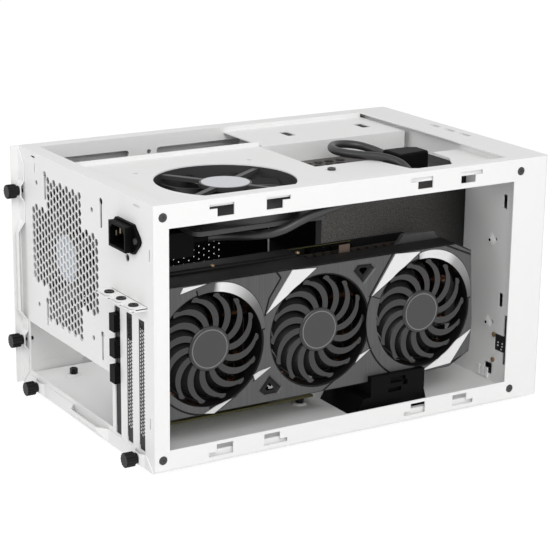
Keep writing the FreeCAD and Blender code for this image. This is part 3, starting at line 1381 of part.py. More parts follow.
def card_heatsink():
    """Fin stack on a base plate that reaches the card's board."""
    x0 = CARD_FACE_X + CARD_SHROUD_DEEP
    x1 = BOARD_X - 8.0
    z0 = up(CARD_Z[0] + 4)
    z1 = up(CARD_Z[1] - 4)
    y_rear = CARD_Y[0] + 8.0
    y_front = CARD_Y[1] - 12.0
    base = box(x1 - 2.0, x1, into(y_front), into(y_rear), z0, z1)
    core = box(x1 - 0.5, BOARD_X, into(190.0), into(90.0), up(55.0), up(120.0))
    step = (y_front - y_rear - FIN_T) / (FIN_COUNT - 1)
    fins = []
    for i in range(FIN_COUNT):
        y = into(y_rear + i * step)
        fins.append(box(x0, x1 - 1.0, y - FIN_T, y, z0, z1))
    grip = PIPE_R + PIPE_GAP
    tools = [box(x0 - 1, x + grip, into(CARD_Y[1]), into(0), z - grip, z + grip) for x, z in pipe_places()]
    return cut(fuse([base, core] + fins), tools)


def card_heat_pipes():
    return group([rod((x, into(PIPE_Y[1]), z), (0, 1, 0), PIPE_R, PIPE_Y[1] - PIPE_Y[0])
                  for x, z in pipe_places()])


def card_board():
    """The card's circuit board with its edge connector."""
    rear = SHEET + BRACKET_T
    outline = [card_point(d, h) for d, h in (
        (rear, BOARD_Z[0]), (EDGE_Y[0], BOARD_Z[0]), (EDGE_Y[0], BOARD_Z[0] - EDGE_DROP),
        (EDGE_Y[1], BOARD_Z[0] - EDGE_DROP), (EDGE_Y[1], BOARD_Z[0]), (BOARD_END, BOARD_Z[0]),
        (BOARD_END, BOARD_Z[1]), (rear, BOARD_Z[1]))]
    return prism(outline, "x", BOARD_X, BOARD_X + BOARD_T)


SOCKETS_Y = (172.0, 194.0)
SOCKET_SIZE = (7.6, 19.0, 13.0)
SOCKET_PIN = 2.6


def card_power_sockets():
    """Two eight-way power sockets on the upper edge of the card's board, open upwards."""
    w, l, h = SOCKET_SIZE
    top = up(BOARD_Z[1])
    sockets = []
    for distance in SOCKETS_Y:
        block = box(BOARD_X - w, BOARD_X, into(distance + l), into(distance), top - h, top)
        pins = []
        for i in range(4):
            y = into(distance + l * (i + 0.5) / 4)
            for x in (BOARD_X - w * 0.27, BOARD_X - w * 0.73):
                pins.append(box(x - SOCKET_PIN / 2, x + SOCKET_PIN / 2, y - SOCKET_PIN / 2, y + SOCKET_PIN / 2,
                                top - h * 0.6, top + 1))
        sockets.append(cut(block, pins))
    return group(sockets)


def card_backplate():
    """Stiff plate behind the board, standing off on bosses, with its front corners cut away."""
    x0 = BOARD_X + BOARD_T
    x1 = x0 + BACK_GAP
    outline = [card_point(d, h) for d, h in (
        (10.0, 40.0), (290.0, 40.0), (302.0, 52.0), (302.0, 126.0), (272.0, 141.0), (10.0, 141.0))]
    plate = prism(outline, "x", x1, x1 + SHEET)
    bosses = [rod((x0, into(d), up(h)), (1, 0, 0), 3.0, BACK_GAP)
              for d in (24.0, 200.0) for h in (50.0, 130.0)]
    return fuse([plate] + bosses)


def slot_bracket(middles, holes):
    """Steel bracket behind the rear panel, with a foot below and a tab over the shelf."""
    y0 = into(SHEET + BRACKET_T)
    y1 = into(SHEET)
    high = middles[0] + BRACKET_W / 2
    low = middles[-1] - BRACKET_W / 2
    z_tab = up(SHELF_Z)
    plate = box(low, high, y0, y1, up(CARD_SLOT_Z[0]) + 6.0, z_tab + BRACKET_T)
    tab = box(low, high, y0, into(0) + SHELF_OUT - 3.0, z_tab, z_tab + BRACKET_T)
    feet = [box(x - CARD_SLOT_W / 2 + 0.5, x + CARD_SLOT_W / 2 - 0.5, y0, y1, up(BRACKET_Z0),
                up(CARD_SLOT_Z[0]) + 6.0) for x in middles]
    bracket = fuse([plate, tab] + feet)
    screw_holes = [rod((x, into(0) + SLOT_SCREW_OUT, z_tab - 1), (0, 0, 1), SCREW_R + SCREW_GAP, 4)
                   for x in middles]
    return cut(bracket, screw_holes + holes)


PERF_PITCH = 7.0
PERF_HOLE = 3.4


def perforation(x):
    """Square holes on their corners, in two staggered columns down one slot."""
    y0 = into(SHEET + BRACKET_T) - 1
    y1 = into(SHEET) + 1
    holes = []
    count = int((CARD_SLOT_Z[1] - CARD_SLOT_Z[0] - 22.0) / PERF_PITCH)
    r = PERF_HOLE / math.sqrt(2)
    for column in (-1, 1):
        for i in range(count):
            cx = x + column * PERF_PITCH / 4
            cz = up(CARD_SLOT_Z[0] + 14.0 + (i + (column + 1) / 4) * PERF_PITCH)
            holes.append(prism([(cx - r, cz), (cx, cz - r), (cx + r, cz), (cx, cz + r)], "y", y0, y1))
    return holes


PORT_Z = (105.0, 84.0, 63.0)
PORT_H = 16.0
PORT_W = 7.6
PORT_OUT = 5.0


def card_bracket():
    first, second, _ = card_slot_middles()
    y0 = into(SHEET + BRACKET_T) - 1
    y1 = into(SHEET) + 1
    ports = [box(first - PORT_W / 2, first + PORT_W / 2, y0, y1, up(z - PORT_H / 2), up(z + PORT_H / 2))
             for z in PORT_Z]
    return slot_bracket([first, second], ports + perforation(second))


def card_port_caps():
    """Dust caps in the card's ports."""
    x = CARD_SLOT_X
    y0 = into(SHEET + BRACKET_T)
    caps = []
    for z in PORT_Z:
        low = up(z - PORT_H / 2)
        high = up(z + PORT_H / 2)
        plug = box(x - PORT_W / 2 + 0.2, x + PORT_W / 2 - 0.2, y0, into(0), low + 0.2, high - 0.2)
        cap = box(x - PORT_W / 2 - 0.6, x + PORT_W / 2 + 0.6, into(SHEET), into(0) + PORT_OUT,
                  low + 1, high - 1)
        caps.append(plug.fuse(cap))
    return group(caps)


def slot_cover():
    third = card_slot_middles()[2]
    return slot_bracket([third], perforation(third))


def slot_screws():
    screws = []
    z = up(SHELF_Z) + BRACKET_T
    for x in card_slot_middles():
        y = into(0) + SLOT_SCREW_OUT
        head = rod((x, y, z), (0, 0, 1), SCREW_HEAD_R + 0.4, 1.6)
        cross = [box(x - 2.2, x + 2.2, y - 0.5, y + 0.5, z + 0.8, z + 2),
                 box(x - 0.5, x + 0.5, y - 2.2, y + 2.2, z + 0.8, z + 2)]
        shank = rod((x, y, z), (0, 0, -1), SCREW_R, SHEET + BRACKET_T + 2.5)
        screws.append(fuse([cut(head, cross), shank]))
    return group(screws)


def slot_board():
    """Narrow board on the tray's posts that carries the card's socket."""
    z0 = up(TRAY_H) + BUMP_H + STANDOFF_H
    board = box(SLOT_BOARD_X[0], SLOT_BOARD_X[1], into(SLOT_BOARD_Y[1]), into(SLOT_BOARD_Y[0]),
                z0, z0 + BOARD_T)
    holes = [rod((x, y, z0 - 1), (0, 0, 1), SCREW_R + SCREW_GAP, BOARD_T + 2)
             for x, y in standoff_places()[:2]]
    return cut(board, holes)


SOCKET_GAP = 0.2


def card_slot():
    z0 = up(TRAY_H) + BUMP_H + STANDOFF_H + BOARD_T
    w, l, h = CARD_SOCKET
    middle = BOARD_X + BOARD_T / 2
    rear = into((EDGE_Y[0] + EDGE_Y[1] - l) / 2)
    body = box(middle - w / 2, middle + w / 2, rear - l, rear, z0, z0 + h)
    groove = box(BOARD_X - SOCKET_GAP, BOARD_X + BOARD_T + SOCKET_GAP, into(EDGE_Y[1]) - SOCKET_GAP,
                 into(EDGE_Y[0]) + SOCKET_GAP, up(BOARD_Z[0] - EDGE_DROP) - SOCKET_GAP, z0 + h + 1)
    return body.cut(groove)


def card_holder_base():
    """Black foot on the tray under the card's front half, with sloping ends."""
    z0 = up(TRAY_H)
    z1 = z0 + HOLDER_BASE_H
    rear, front = HOLDER_Y
    outline = [(into(rear), z0), (into(rear + 9), z1), (into(front - 4), z1), (into(front), z0)]
    return prism(outline, "x", CARD_FACE_X - 6.0, CARD_FACE_X + 47.0)


def card_holder_block():
    """Block that stands in front of the shroud's lower edge and carries it on a ledge."""
    z0 = up(TRAY_H) + HOLDER_BASE_H
    rear, front = HOLDER_BLOCK_Y
    x0 = CARD_FACE_X - 6.5
    upright = box(x0, CARD_FACE_X - TRIM_T - 0.4, into(front), into(rear), z0, z0 + HOLDER_BLOCK_H)
    ledge = box(x0, CARD_FACE_X + 20.0, into(front), into(rear), z0, up(CARD_Z[0]) - 0.2)
    middle = into((rear + front) / 2)
    tools = [
        box(x0 - 1, x0 + 3.0, middle - 7.5, middle + 7.5, z0 + 9.0, z0 + 14.0),
        box(x0 - 1, x0 + 3.0, middle - 9.5, middle - 5.0, z0 + 6.0, z0 + 10.0),
        box(x0 - 1, x0 + 3.0, middle - 3.5, middle + 9.5, z0 + 1.5, z0 + 5.0),
    ]
    return cut(fuse([upright, ledge]), tools)


def plate_screw():
    """Screw that ties the supply's plate to the fan plate's edge."""
    place = (PSU_PLATE_X - 16.6, into(PLATE_SPLIT + 10.0), PSU_PLATE_TOP)
    head = rod(place, (0, 0, 1), SCREW_HEAD_R, 1.8)
    x, y, z = place
    cross = [box(x - 2.2, x + 2.2, y - 0.5, y + 0.5, z + 0.9, z + 2),
             box(x - 0.5, x + 0.5, y - 2.2, y + 2.2, z + 0.9, z + 2)]
    return cut(head, cross)


def save(nodes):
    os.makedirs("parts", exist_ok=True)
    for name, shape in nodes.items():
        shape.exportStep("parts/" + name + ".step")


def main():
    wheel = case_fan_rotor()
    housing = case_fan_frame()
    card_wheel = card_fan()
    screws = [thumbscrew(x, z) for x, z in thumbscrew_places()]
    nodes = {
        "rear_panel": rear_panel(),
        **near_frame_strips(),
        "far_side_frame": far_side_frame(),
        "floor_tray": floor_tray(),
        "board_standoffs": board_standoffs(),
        "fan_plate": fan_plate(),
        "psu_plate": psu_plate(),
        "plate_screw": plate_screw(),
        "drive_cage": drive_cage(),
        "front_frame": front_frame(),
        "frame_screws": frame_screws(),
        "front_bezel": front_bezel(),
        "power_button": power_button(),
        "power_switch": power_switch(),
        "front_io_board": front_io_board(),
        "front_ports": front_ports(),
        "far_side_panel": far_side_panel(),
        "dust_filter": dust_filter(),
        "far_panel_thumbscrews": group(screws[:2]),
        "bottom_panel": bottom_panel(),
        "bottom_panel_thumbscrews": group(screws[2:]),
        "rubber_feet": rubber_feet(),
        "top_fan_frame": top_fan(housing),
        "top_fan_rotor": top_fan(wheel),
        "rear_fan_frame": rear_fan(housing),
        "rear_fan_rotor": rear_fan(wheel),
        "power_inlet": power_inlet(),
        "inlet_pins": inlet_pins(),
        "inlet_screws": inlet_screws(),
        "lead_boot": lead_boot(),
        "power_lead": cord(lead_points(), LEAD_R),
        "power_plug": power_plug(),
        "psu_body": psu_body(),
        "card_shroud": card_shroud(),
        "card_face_plates": card_face_plates(),
        "card_trim": card_trim(),
        "card_fan_carriers": card_fan_carriers(),
        "card_heatsink": card_heatsink(),
        "card_heat_pipes": card_heat_pipes(),
        "card_board": card_board(),
        "card_power_sockets": card_power_sockets(),
        "card_backplate": card_backplate(),
        "card_bracket": card_bracket(),
        "card_port_caps": card_port_caps(),
        "slot_cover": slot_cover(),
        "slot_screws": slot_screws(),
        "slot_board": slot_board(),
        "card_slot": card_slot(),
        "card_holder_base": card_holder_base(),
        "card_holder_block": card_holder_block(),
    }
    for number, distance in enumerate(CARD_FANS_Y, 1):
        nodes["card_fan_%d" % number] = placed(card_wheel, card_fan_place(distance), (-1, 0, 0))
    save(nodes)


main()
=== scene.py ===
import bpy
import bmesh
import math
from mathutils import Matrix, Vector


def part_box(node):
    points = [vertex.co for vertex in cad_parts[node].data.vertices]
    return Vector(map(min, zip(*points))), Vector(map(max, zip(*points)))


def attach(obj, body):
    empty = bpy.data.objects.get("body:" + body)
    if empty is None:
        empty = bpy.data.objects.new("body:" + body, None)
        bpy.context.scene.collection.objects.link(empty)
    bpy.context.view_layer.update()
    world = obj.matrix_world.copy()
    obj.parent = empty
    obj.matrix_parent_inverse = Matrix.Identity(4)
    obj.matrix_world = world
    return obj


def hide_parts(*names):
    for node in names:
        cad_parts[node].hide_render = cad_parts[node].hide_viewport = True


# A small white steel cube case, open at its side and top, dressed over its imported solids.
# Lengths are metres; distances written in millimetres are multiplied by MM.

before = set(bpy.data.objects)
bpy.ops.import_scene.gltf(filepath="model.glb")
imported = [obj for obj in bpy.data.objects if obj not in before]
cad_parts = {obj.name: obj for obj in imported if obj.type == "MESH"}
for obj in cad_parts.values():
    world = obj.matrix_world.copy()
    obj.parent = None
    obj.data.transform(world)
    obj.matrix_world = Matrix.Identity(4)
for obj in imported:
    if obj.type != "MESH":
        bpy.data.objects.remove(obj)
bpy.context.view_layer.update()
MM = 0.001
WELD = 1e-6                    # points this close count as one

# Places taken from the solids
stile_low, stile_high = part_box("near_rear_stile")
far_low, far_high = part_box("far_side_panel")
rear_low, rear_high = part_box("rear_panel")
X_NEAR = stile_low.x
X_FAR = far_high.x
Y_REAR = stile_high.y
Z_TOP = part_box("far_side_frame")[1].z
Z_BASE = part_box("bottom_panel")[0].z
SHEET = 1.0 * MM


def into(distance):
    """Y of a place this many millimetres in from the rear face."""
    return Y_REAR - distance * MM


def up(height):
    """Z of a place this many millimetres above the underside of the case."""
    return Z_BASE + height * MM


# Finishes

BRUSH_LEAN = math.radians(-52.0)
BRUSH_STRETCH = (40.0, 1500.0, 14.0)


def finish(name, colour, roughness, metallic=0.0, specular=0.5):
    material = bpy.data.materials.new(name)
    material.use_nodes = True
    shader = material.node_tree.nodes["Principled BSDF"]
    shader.inputs["Base Color"].default_value = (*colour, 1.0)
    shader.inputs["Roughness"].default_value = roughness
    shader.inputs["Metallic"].default_value = metallic
    shader.inputs["Specular IOR Level"].default_value = specular
    return material


def object_noise(tree, scale, detail):
    """Noise on the object's own coordinates."""
    place = tree.nodes.new("ShaderNodeTexCoord")
    noise = tree.nodes.new("ShaderNodeTexNoise")
    noise.inputs["Scale"].default_value = scale
    noise.inputs["Detail"].default_value = detail
    tree.links.new(place.outputs["Object"], noise.inputs["Vector"])
    return noise


def two_tones(tree, noise, dark, light, low, high):
    """The colour goes from a dark to a light tone between two levels of the noise."""
    ramp = tree.nodes.new("ShaderNodeValToRGB")
    for stop, level, colour in zip(ramp.color_ramp.elements, (low, high), (dark, light)):
        stop.position = level
        stop.color = (*colour, 1.0)
    tree.links.new(noise.outputs["Fac"], ramp.inputs["Fac"])
    tree.links.new(ramp.outputs["Color"], tree.nodes["Principled BSDF"].inputs["Base Color"])


def grain(material, scale, strength, distance):
    """Fine bumps over the whole surface, as on powder coat or textured moulding."""
    tree = material.node_tree
    noise = object_noise(tree, scale, 2.0)
    bump = tree.nodes.new("ShaderNodeBump")
    bump.inputs["Strength"].default_value = strength
    bump.inputs["Distance"].default_value = distance
    tree.links.new(noise.outputs["Fac"], bump.inputs["Height"])
    tree.links.new(bump.outputs["Normal"], tree.nodes["Principled BSDF"].inputs["Normal"])
    return material


def speckle(material, dark, light, scale, low, high):
    """Two tones broken up by fine noise, as on sparkling black paint."""
    tree = material.node_tree
    two_tones(tree, object_noise(tree, scale, 3.0), dark, light, low, high)


def brushed(material, dark, light):
    """Two close tones in fine lines that lean across the face, as on brushed sheet."""
    tree = material.node_tree
    noise = object_noise(tree, 1.0, 2.0)
    place = noise.inputs["Vector"].links[0].from_socket
    lean = tree.nodes.new("ShaderNodeMapping")
    lean.inputs["Rotation"].default_value = (BRUSH_LEAN, 0.0, 0.0)
    lean.inputs["Scale"].default_value = BRUSH_STRETCH
    tree.links.new(place, lean.inputs["Vector"])
    tree.links.new(lean.outputs["Vector"], noise.inputs["Vector"])
    two_tones(tree, noise, dark, light, 0.3, 0.7)
    return material


def painted_shade_along(material, dim, full, share):
    """Painted shade: the colour falls to a share of itself along Y."""
    tree = material.node_tree
    colour = tree.nodes["Principled BSDF"].inputs["Base Color"]
    source = colour.links[0].from_socket
    place = tree.nodes.new("ShaderNodeTexCoord")
    parts = tree.nodes.new("ShaderNodeSeparateXYZ")
    scale = tree.nodes.new("ShaderNodeMapRange")
    scale.inputs["From Min"].default_value = dim
    scale.inputs["From Max"].default_value = full
    scale.inputs["To Min"].default_value = share
    scale.inputs["To Max"].default_value = 1.0
    product = tree.nodes.new("ShaderNodeVectorMath")
    product.operation = "MULTIPLY"
    tree.links.new(place.outputs["Object"], parts.inputs["Vector"])
    tree.links.new(parts.outputs["Y"], scale.inputs["Value"])
    tree.links.new(source, product.inputs[0])
    tree.links.new(scale.outputs["Result"], product.inputs[1])
    tree.links.new(product.outputs["Vector"], colour)


def toned(material):
    """Grey read from the tone kept at each point of the mesh, its own tone together with any painted
    light.
    """
    tree = material.node_tree
    tone = tree.nodes.new("ShaderNodeAttribute")
    tone.attribute_name = "tone"
    tree.links.new(tone.outputs["Fac"], tree.nodes["Principled BSDF"].inputs["Base Color"])
    return material


white_coat = grain(finish("white_coat", (0.86, 0.86, 0.855), 0.5, specular=0.3), 1400.0, 0.12, 0.08 * MM)
white_moulding = grain(finish("white_moulding", (0.86, 0.86, 0.86), 0.45, specular=0.3),
                       900.0, 0.06, 0.06 * MM)
black_moulding = grain(finish("black_moulding", (0.003, 0.0029, 0.0029), 0.5, specular=0.06),
                       1200.0, 0.1, 0.08 * MM)
black_satin = finish("black_satin", (0.008, 0.0077, 0.0077), 0.42, specular=0.18)
black_metal = finish("black_metal", (0.010, 0.010, 0.010), 0.42, metallic=0.1, specular=0.2)
black_steel = grain(finish("black_steel", (0.05, 0.048, 0.045), 0.55, specular=0.25),
                    1500.0, 0.5, 0.2 * MM)
speckle(black_steel, (0.11, 0.104, 0.098), (0.30, 0.285, 0.27), scale=1300.0, low=0.40, high=0.72)
# painted shade: the supply's side falls nearly to black towards the front, deep inside the case
painted_shade_along(black_steel, dim=-162.0 * MM, full=-15.0 * MM, share=0.05)
# near black: the filter mesh and the supply's label, and painted shade in the bezel's slots and the
# wall's dimple holes
black_and_painted_shade = finish("black_and_painted_shade", (0.0012, 0.0012, 0.0012), 0.6, specular=0.02)
psu_margin = finish("psu_margin", (0.09, 0.09, 0.092), 0.5, specular=0.3)
fan_black = finish("fan_black", (0.05, 0.05, 0.051), 0.4, specular=0.3)
blade_black = grain(finish("blade_black", (0.012, 0.012, 0.012), 0.36, specular=0.3),
                    700.0, 0.05, 0.1 * MM)
blade_grey = grain(finish("blade_grey", (0.016, 0.0158, 0.0156), 0.27, specular=0.6),
                   900.0, 0.05, 0.1 * MM)
gunmetal = brushed(finish("gunmetal", (0.15, 0.15, 0.15), 0.46, metallic=0.2, specular=0.4),
                   (0.070, 0.070, 0.072), (0.092, 0.092, 0.094))
# the trim's tone per point carries painted highlight and shade on the card's arcs
silver_trim = toned(finish("silver_trim", (0.75, 0.75, 0.745), 0.45, specular=0.3))
slash_white = finish("slash_white", (0.62, 0.62, 0.615), 0.45, specular=0.4)
fin_metal = finish("fin_metal", (0.10, 0.085, 0.075), 0.45, metallic=0.8)
copper = finish("copper", (0.50, 0.26, 0.15), 0.36, metallic=1.0)
brass_pins = finish("brass_pins", (0.22, 0.19, 0.13), 0.35, metallic=1.0)
zinc_screw = finish("zinc_screw", (0.06, 0.06, 0.06), 0.4, metallic=0.5)
gold_screw = finish("gold_screw", (0.46, 0.33, 0.19), 0.35, metallic=0.9)
socket_steel = finish("socket_steel", (0.5, 0.5, 0.5), 0.3, metallic=0.9)
board_black = finish("board_black", (0.008, 0.009, 0.008), 0.45, specular=0.25)
board_olive = finish("board_olive", (0.13, 0.125, 0.05), 0.55, specular=0.3)
foot_rubber = finish("foot_rubber", (0.012, 0.012, 0.012), 0.8, specular=0.2)
lead_jacket = finish("lead_jacket", (0.022, 0.022, 0.0225), 0.42, specular=0.6)
label_grey = finish("label_grey", (0.66, 0.67, 0.70), 0.5, specular=0.3)
label_blue = finish("label_blue", (0.52, 0.56, 0.62), 0.5, specular=0.3)
hub_grey = finish("hub_grey", (0.050, 0.0497, 0.0494), 0.42, specular=0.4)
hub_silver = finish("hub_silver", (0.26, 0.26, 0.26), 0.35, metallic=0.3)
bronze_plate = grain(finish("bronze_plate", (0.20, 0.145, 0.115), 0.5, metallic=0.4),
                     1200.0, 0.2, 0.1 * MM)
brown_edge = finish("brown_edge", (0.12, 0.075, 0.045), 0.5, metallic=0.3)

NEAR_FRAME = [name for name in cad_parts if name.startswith("near_")]

DRESS = {
    white_coat: (*NEAR_FRAME, "far_side_frame", "floor_tray", "fan_plate", "psu_plate", "drive_cage",
                 "front_frame", "bottom_panel"),
    white_moulding: ("front_bezel", "power_button"),
    black_metal: ("board_standoffs", "far_panel_thumbscrews", "bottom_panel_thumbscrews",
                  "slot_screws", "card_backplate", "card_bracket", "slot_cover"),
    black_moulding: ("power_switch", "power_inlet", "lead_boot", "power_plug", "card_port_caps",
                     "card_slot", "card_holder_base", "card_holder_block", "card_fan_carriers",
                     "card_power_sockets"),
    black_satin: ("card_shroud",),
    fan_black: ("top_fan_frame", "rear_fan_frame"),
    blade_black: ("top_fan_rotor", "rear_fan_rotor"),
    blade_grey: ("card_fan_1", "card_fan_2", "card_fan_3"),
    black_steel: ("psu_body",),
    gunmetal: ("card_face_plates",),
    fin_metal: ("card_heatsink",),
    copper: ("card_heat_pipes",),
    brass_pins: ("inlet_pins",),
    zinc_screw: ("frame_screws", "plate_screw", "inlet_screws"),
    socket_steel: ("front_ports",),
    board_black: ("card_board", "front_io_board"),
    board_olive: ("slot_board",),
    foot_rubber: ("rubber_feet",),
}

for material, names in DRESS.items():
    for name in names:
        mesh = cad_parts[name].data
        mesh.materials.clear()
        mesh.materials.append(material)


# Objects and meshes


def placed(name, data):
    """New object at the origin."""
    obj = bpy.data.objects.new(name, data)
    bpy.context.collection.objects.link(obj)
    return obj


def mesh_of(shape, name):
    """An edited shape as a mesh."""
    mesh = bpy.data.meshes.new(name)
    shape.to_mesh(mesh)
    shape.free()
    return mesh


def merged_node(name):
    """A copy of a solid's triangles for editing, with their shared points merged."""
    shape = bmesh.new()
    shape.from_mesh(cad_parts[name].data)
    bmesh.ops.remove_doubles(shape, verts=shape.verts, dist=WELD)
    return shape


def joined(name, meshes, material):
    """One object, at the origin, from several meshes."""
    shape = bmesh.new()
    for mesh in meshes:
        shape.from_mesh(mesh)
        bpy.data.meshes.remove(mesh)
    whole = mesh_of(shape, name)
    whole.materials.append(material)
    return placed(name, whole)


def laid(mesh, origin, along_u, along_v):
    """Moves a flat mesh so that its X and Y run along the two given ways."""
    u = Vector(along_u)
    v = Vector(along_v)
    w = u.cross(v)
    turn = Matrix((u, v, w)).transposed().to_4x4()
    mesh.transform(Matrix.Translation(Vector(origin)) @ turn)
    return mesh


def box_mesh(low, high):
    shape = bmesh.new()
    low = Vector(low)
    high = Vector(high)
    size = high - low
    place = Matrix.Translation((low + high) / 2) @ Matrix.Diagonal((*size, 1.0))
    bmesh.ops.create_cube(shape, size=1.0, matrix=place)
    return mesh_of(shape, "box")


def block(x0, x1, y0, y1, z0, z1):
    """Box between millimetre places."""
    return box_mesh((x0 * MM, y0 * MM, z0 * MM), (x1 * MM, y1 * MM, z1 * MM))


def rectangle(u0, u1, v0, v1):
    return [(u0, v0), (u1, v0), (u1, v1), (u0, v1)]


def circle(u, v, radius, corners=20):
    turns = [2 * math.pi * i / corners for i in range(corners)]
    return [(u + radius * math.cos(a), v + radius * math.sin(a)) for a in turns]


def honeycomb(half_u, half_v, pitch):
    """Centres of a hexagon field about the origin, in upright columns."""
    column = pitch * math.sqrt(3) / 2
    reach = int(half_u / column) + 1
    rows = int(half_v / pitch) + 2
    for i in range(-reach, reach + 1):
        shift = pitch / 2 if i % 2 else 0.0
        for j in range(-rows, rows + 1):
            yield i * column, j * pitch + shift


# Punched sheets: an outline with cut-outs and a field of equal holes, given a thickness

HEXAGON = 6
SMALL_ROUND = 10               # corners of a small round hole


def punched_sheet_tree():
    tree = bpy.data.node_groups.new("punched_sheet", "GeometryNodeTree")
    inputs = {"Geometry": "NodeSocketGeometry", "Hole Radius": "NodeSocketFloat",
              "Hole Corners": "NodeSocketInt", "Thickness": "NodeSocketFloat"}
    for name, kind in inputs.items():
        tree.interface.new_socket(name, in_out="INPUT", socket_type=kind)
    tree.interface.new_socket("Geometry", in_out="OUTPUT", socket_type="NodeSocketGeometry")
    add = tree.nodes.new
    link = tree.links.new
    start = add("NodeGroupInput")
    is_hole = add("GeometryNodeInputNamedAttribute")
    is_hole.data_type = "BOOLEAN"
    is_hole.inputs["Name"].default_value = "hole_centre"
    is_outline = add("FunctionNodeBooleanMath")
    is_outline.operation = "NOT"
    link(is_hole.outputs["Attribute"], is_outline.inputs[0])
    centres = add("GeometryNodeMeshToPoints")
    link(start.outputs["Geometry"], centres.inputs["Mesh"])
    link(is_hole.outputs["Attribute"], centres.inputs["Selection"])
    ring = add("GeometryNodeCurvePrimitiveCircle")
    link(start.outputs["Hole Corners"], ring.inputs["Resolution"])
    link(start.outputs["Hole Radius"], ring.inputs["Radius"])
    field = add("GeometryNodeInstanceOnPoints")
    link(centres.outputs["Points"], field.inputs["Points"])
    link(ring.outputs["Curve"], field.inputs["Instance"])
    holes = add("GeometryNodeRealizeInstances")
    link(field.outputs["Instances"], holes.inputs["Geometry"])
    outline = add("GeometryNodeMeshToCurve")
    link(start.outputs["Geometry"], outline.inputs["Mesh"])
    link(is_outline.outputs["Boolean"], outline.inputs["Selection"])
    loops = add("GeometryNodeJoinGeometry")
    link(holes.outputs["Geometry"], loops.inputs["Geometry"])
    link(outline.outputs["Curve"], loops.inputs["Geometry"])
    plate = add("GeometryNodeFillCurve")
    plate.mode = "TRIANGLES"
    link(loops.outputs["Geometry"], plate.inputs["Curve"])
    raised = add("GeometryNodeExtrudeMesh")
    raised.inputs["Individual"].default_value = False
    up_way = add("ShaderNodeCombineXYZ")
    up_way.inputs["Z"].default_value = 1.0
    link(plate.outputs["Mesh"], raised.inputs["Mesh"])
    link(up_way.outputs["Vector"], raised.inputs["Offset"])
    link(start.outputs["Thickness"], raised.inputs["Offset Scale"])
    under = add("GeometryNodeFlipFaces")
    link(plate.outputs["Mesh"], under.inputs["Mesh"])
    both = add("GeometryNodeJoinGeometry")
    link(raised.outputs["Mesh"], both.inputs["Geometry"])
    link(under.outputs["Mesh"], both.inputs["Geometry"])
    closed = add("GeometryNodeMergeByDistance")
    closed.inputs["Distance"].default_value = WELD
    link(both.outputs["Geometry"], closed.inputs["Geometry"])
    real = add("GeometryNodeRealizeInstances")
    link(closed.outputs["Geometry"], real.inputs["Geometry"])
    end = add("NodeGroupOutput")
    link(real.outputs["Geometry"], end.inputs["Geometry"])
    return tree


PUNCHED = punched_sheet_tree()


def socket_of(tree, name):
    """Identifier of a tree's named input."""
    return next(item.identifier for item in tree.interface.items_tree
                if item.item_type == "SOCKET" and item.in_out == "INPUT" and item.name == name)


def evaluated_copy(obj):
    """The object's shape with its modifier's result, as a plain mesh; the object itself goes."""
    graph = bpy.context.evaluated_depsgraph_get()
    mesh = bpy.data.meshes.new_from_object(obj.evaluated_get(graph))
    source = obj.data
    bpy.data.objects.remove(obj)
    bpy.data.meshes.remove(source)
    return mesh


def punched_sheet(outlines, thickness, centres=(), hole_radius=1.0 * MM, corners=HEXAGON):
    """Mesh in the XY plane, thickened towards +Z, cut by inner outlines and by a field of holes."""
    mesh = bpy.data.meshes.new("sheet_plan")
    points = []
    edges = []
    for outline in outlines:
        first = len(points)
        count = len(outline)
        points += [(u, v, 0.0) for u, v in outline]
        edges += [(first + i, first + (i + 1) % count) for i in range(count)]
    first_hole = len(points)
    points += [(u, v, 0.0) for u, v in centres]
    mesh.from_pydata(points, edges, [])
    marks = mesh.attributes.new("hole_centre", "BOOLEAN", "POINT")
    for i in range(first_hole, len(points)):
        marks.data[i].value = True
    plan = placed("sheet_plan", mesh)
    modifier = plan.modifiers.new("punched", "NODES")
    modifier.node_group = PUNCHED
    settings = {"Hole Radius": hole_radius, "Hole Corners": corners, "Thickness": thickness}
    for name, value in settings.items():
        modifier[socket_of(PUNCHED, name)] = value
    return evaluated_copy(plan)


# Rear panel with its fine honeycomb

FAN_X = 34.4 * MM
FAN_Z = up(132.4)
FAN_HALF = 52.5 * MM
FAN_SCREW_R = 2.15 * MM
FINE_PITCH = 6.9 * MM
FINE_HOLE = 6.0 * MM
COLUMN = (31.5 * MM, 62.8 * MM)
WING = (64.7 * MM, 33.5 * MM)
STILE = 13.0 * MM
FLANGE = 11.5 * MM

# Cut-outs in millimetres, across from the middle and up from the underside
KEYHOLES = [(x, z) for x in (70.0, -34.6) for z in (174.0, 66.0)]
SLOT_MIDDLES = [-60.8 - 20.32 * i for i in range(3)]
SLOT_HALF = 4.8
SLOT_HEIGHTS = (12.4, 117.5)
SHELF_ENDS = (-111.6, -50.6)
SHELF_TOP = 128.6
TAB_GAP_TOP = 130.4
PORT_OPENING = (-50.6, 108.2, 14.8, 59.3)
INLET_OPENING = (-93.2, -64.8, 168.3, 188.7)
LATCH_HOLE = (-79.6, 161.0, 3.0)
REAR_SLITS = ((-95.0, 204.5, 10.0, 1.6), (-115.6, 171.0, 1.6, 9.0), (-115.0, 38.5, 1.6, 9.0),
              (93.0, 205.5, 8.0, 1.6), (90.0, 196.6, 1.6, 8.0))

# Ledge for the slot screws: how far it stands out, and where its edge dips beside a slot's middle
SHELF_OUT = 12.5 * MM
SHELF_DIP_OUT = 10.0 * MM
SHELF_DIP = (5.5, 7.5, 12.0, 14.0)


def plus_field():
    """Hole centres over the fan, in the shape of a plus."""
    centres = []
    for u, v in honeycomb(WING[0], COLUMN[1], FINE_PITCH):
        in_column = abs(u) < COLUMN[0] and abs(v) < COLUMN[1] - FINE_HOLE / 2
        in_wing = abs(u) < WING[0] - FINE_HOLE / 2 and abs(v) < WING[1]
        if in_column or in_wing:
            centres.append((FAN_X + u, FAN_Z + v))
    return centres


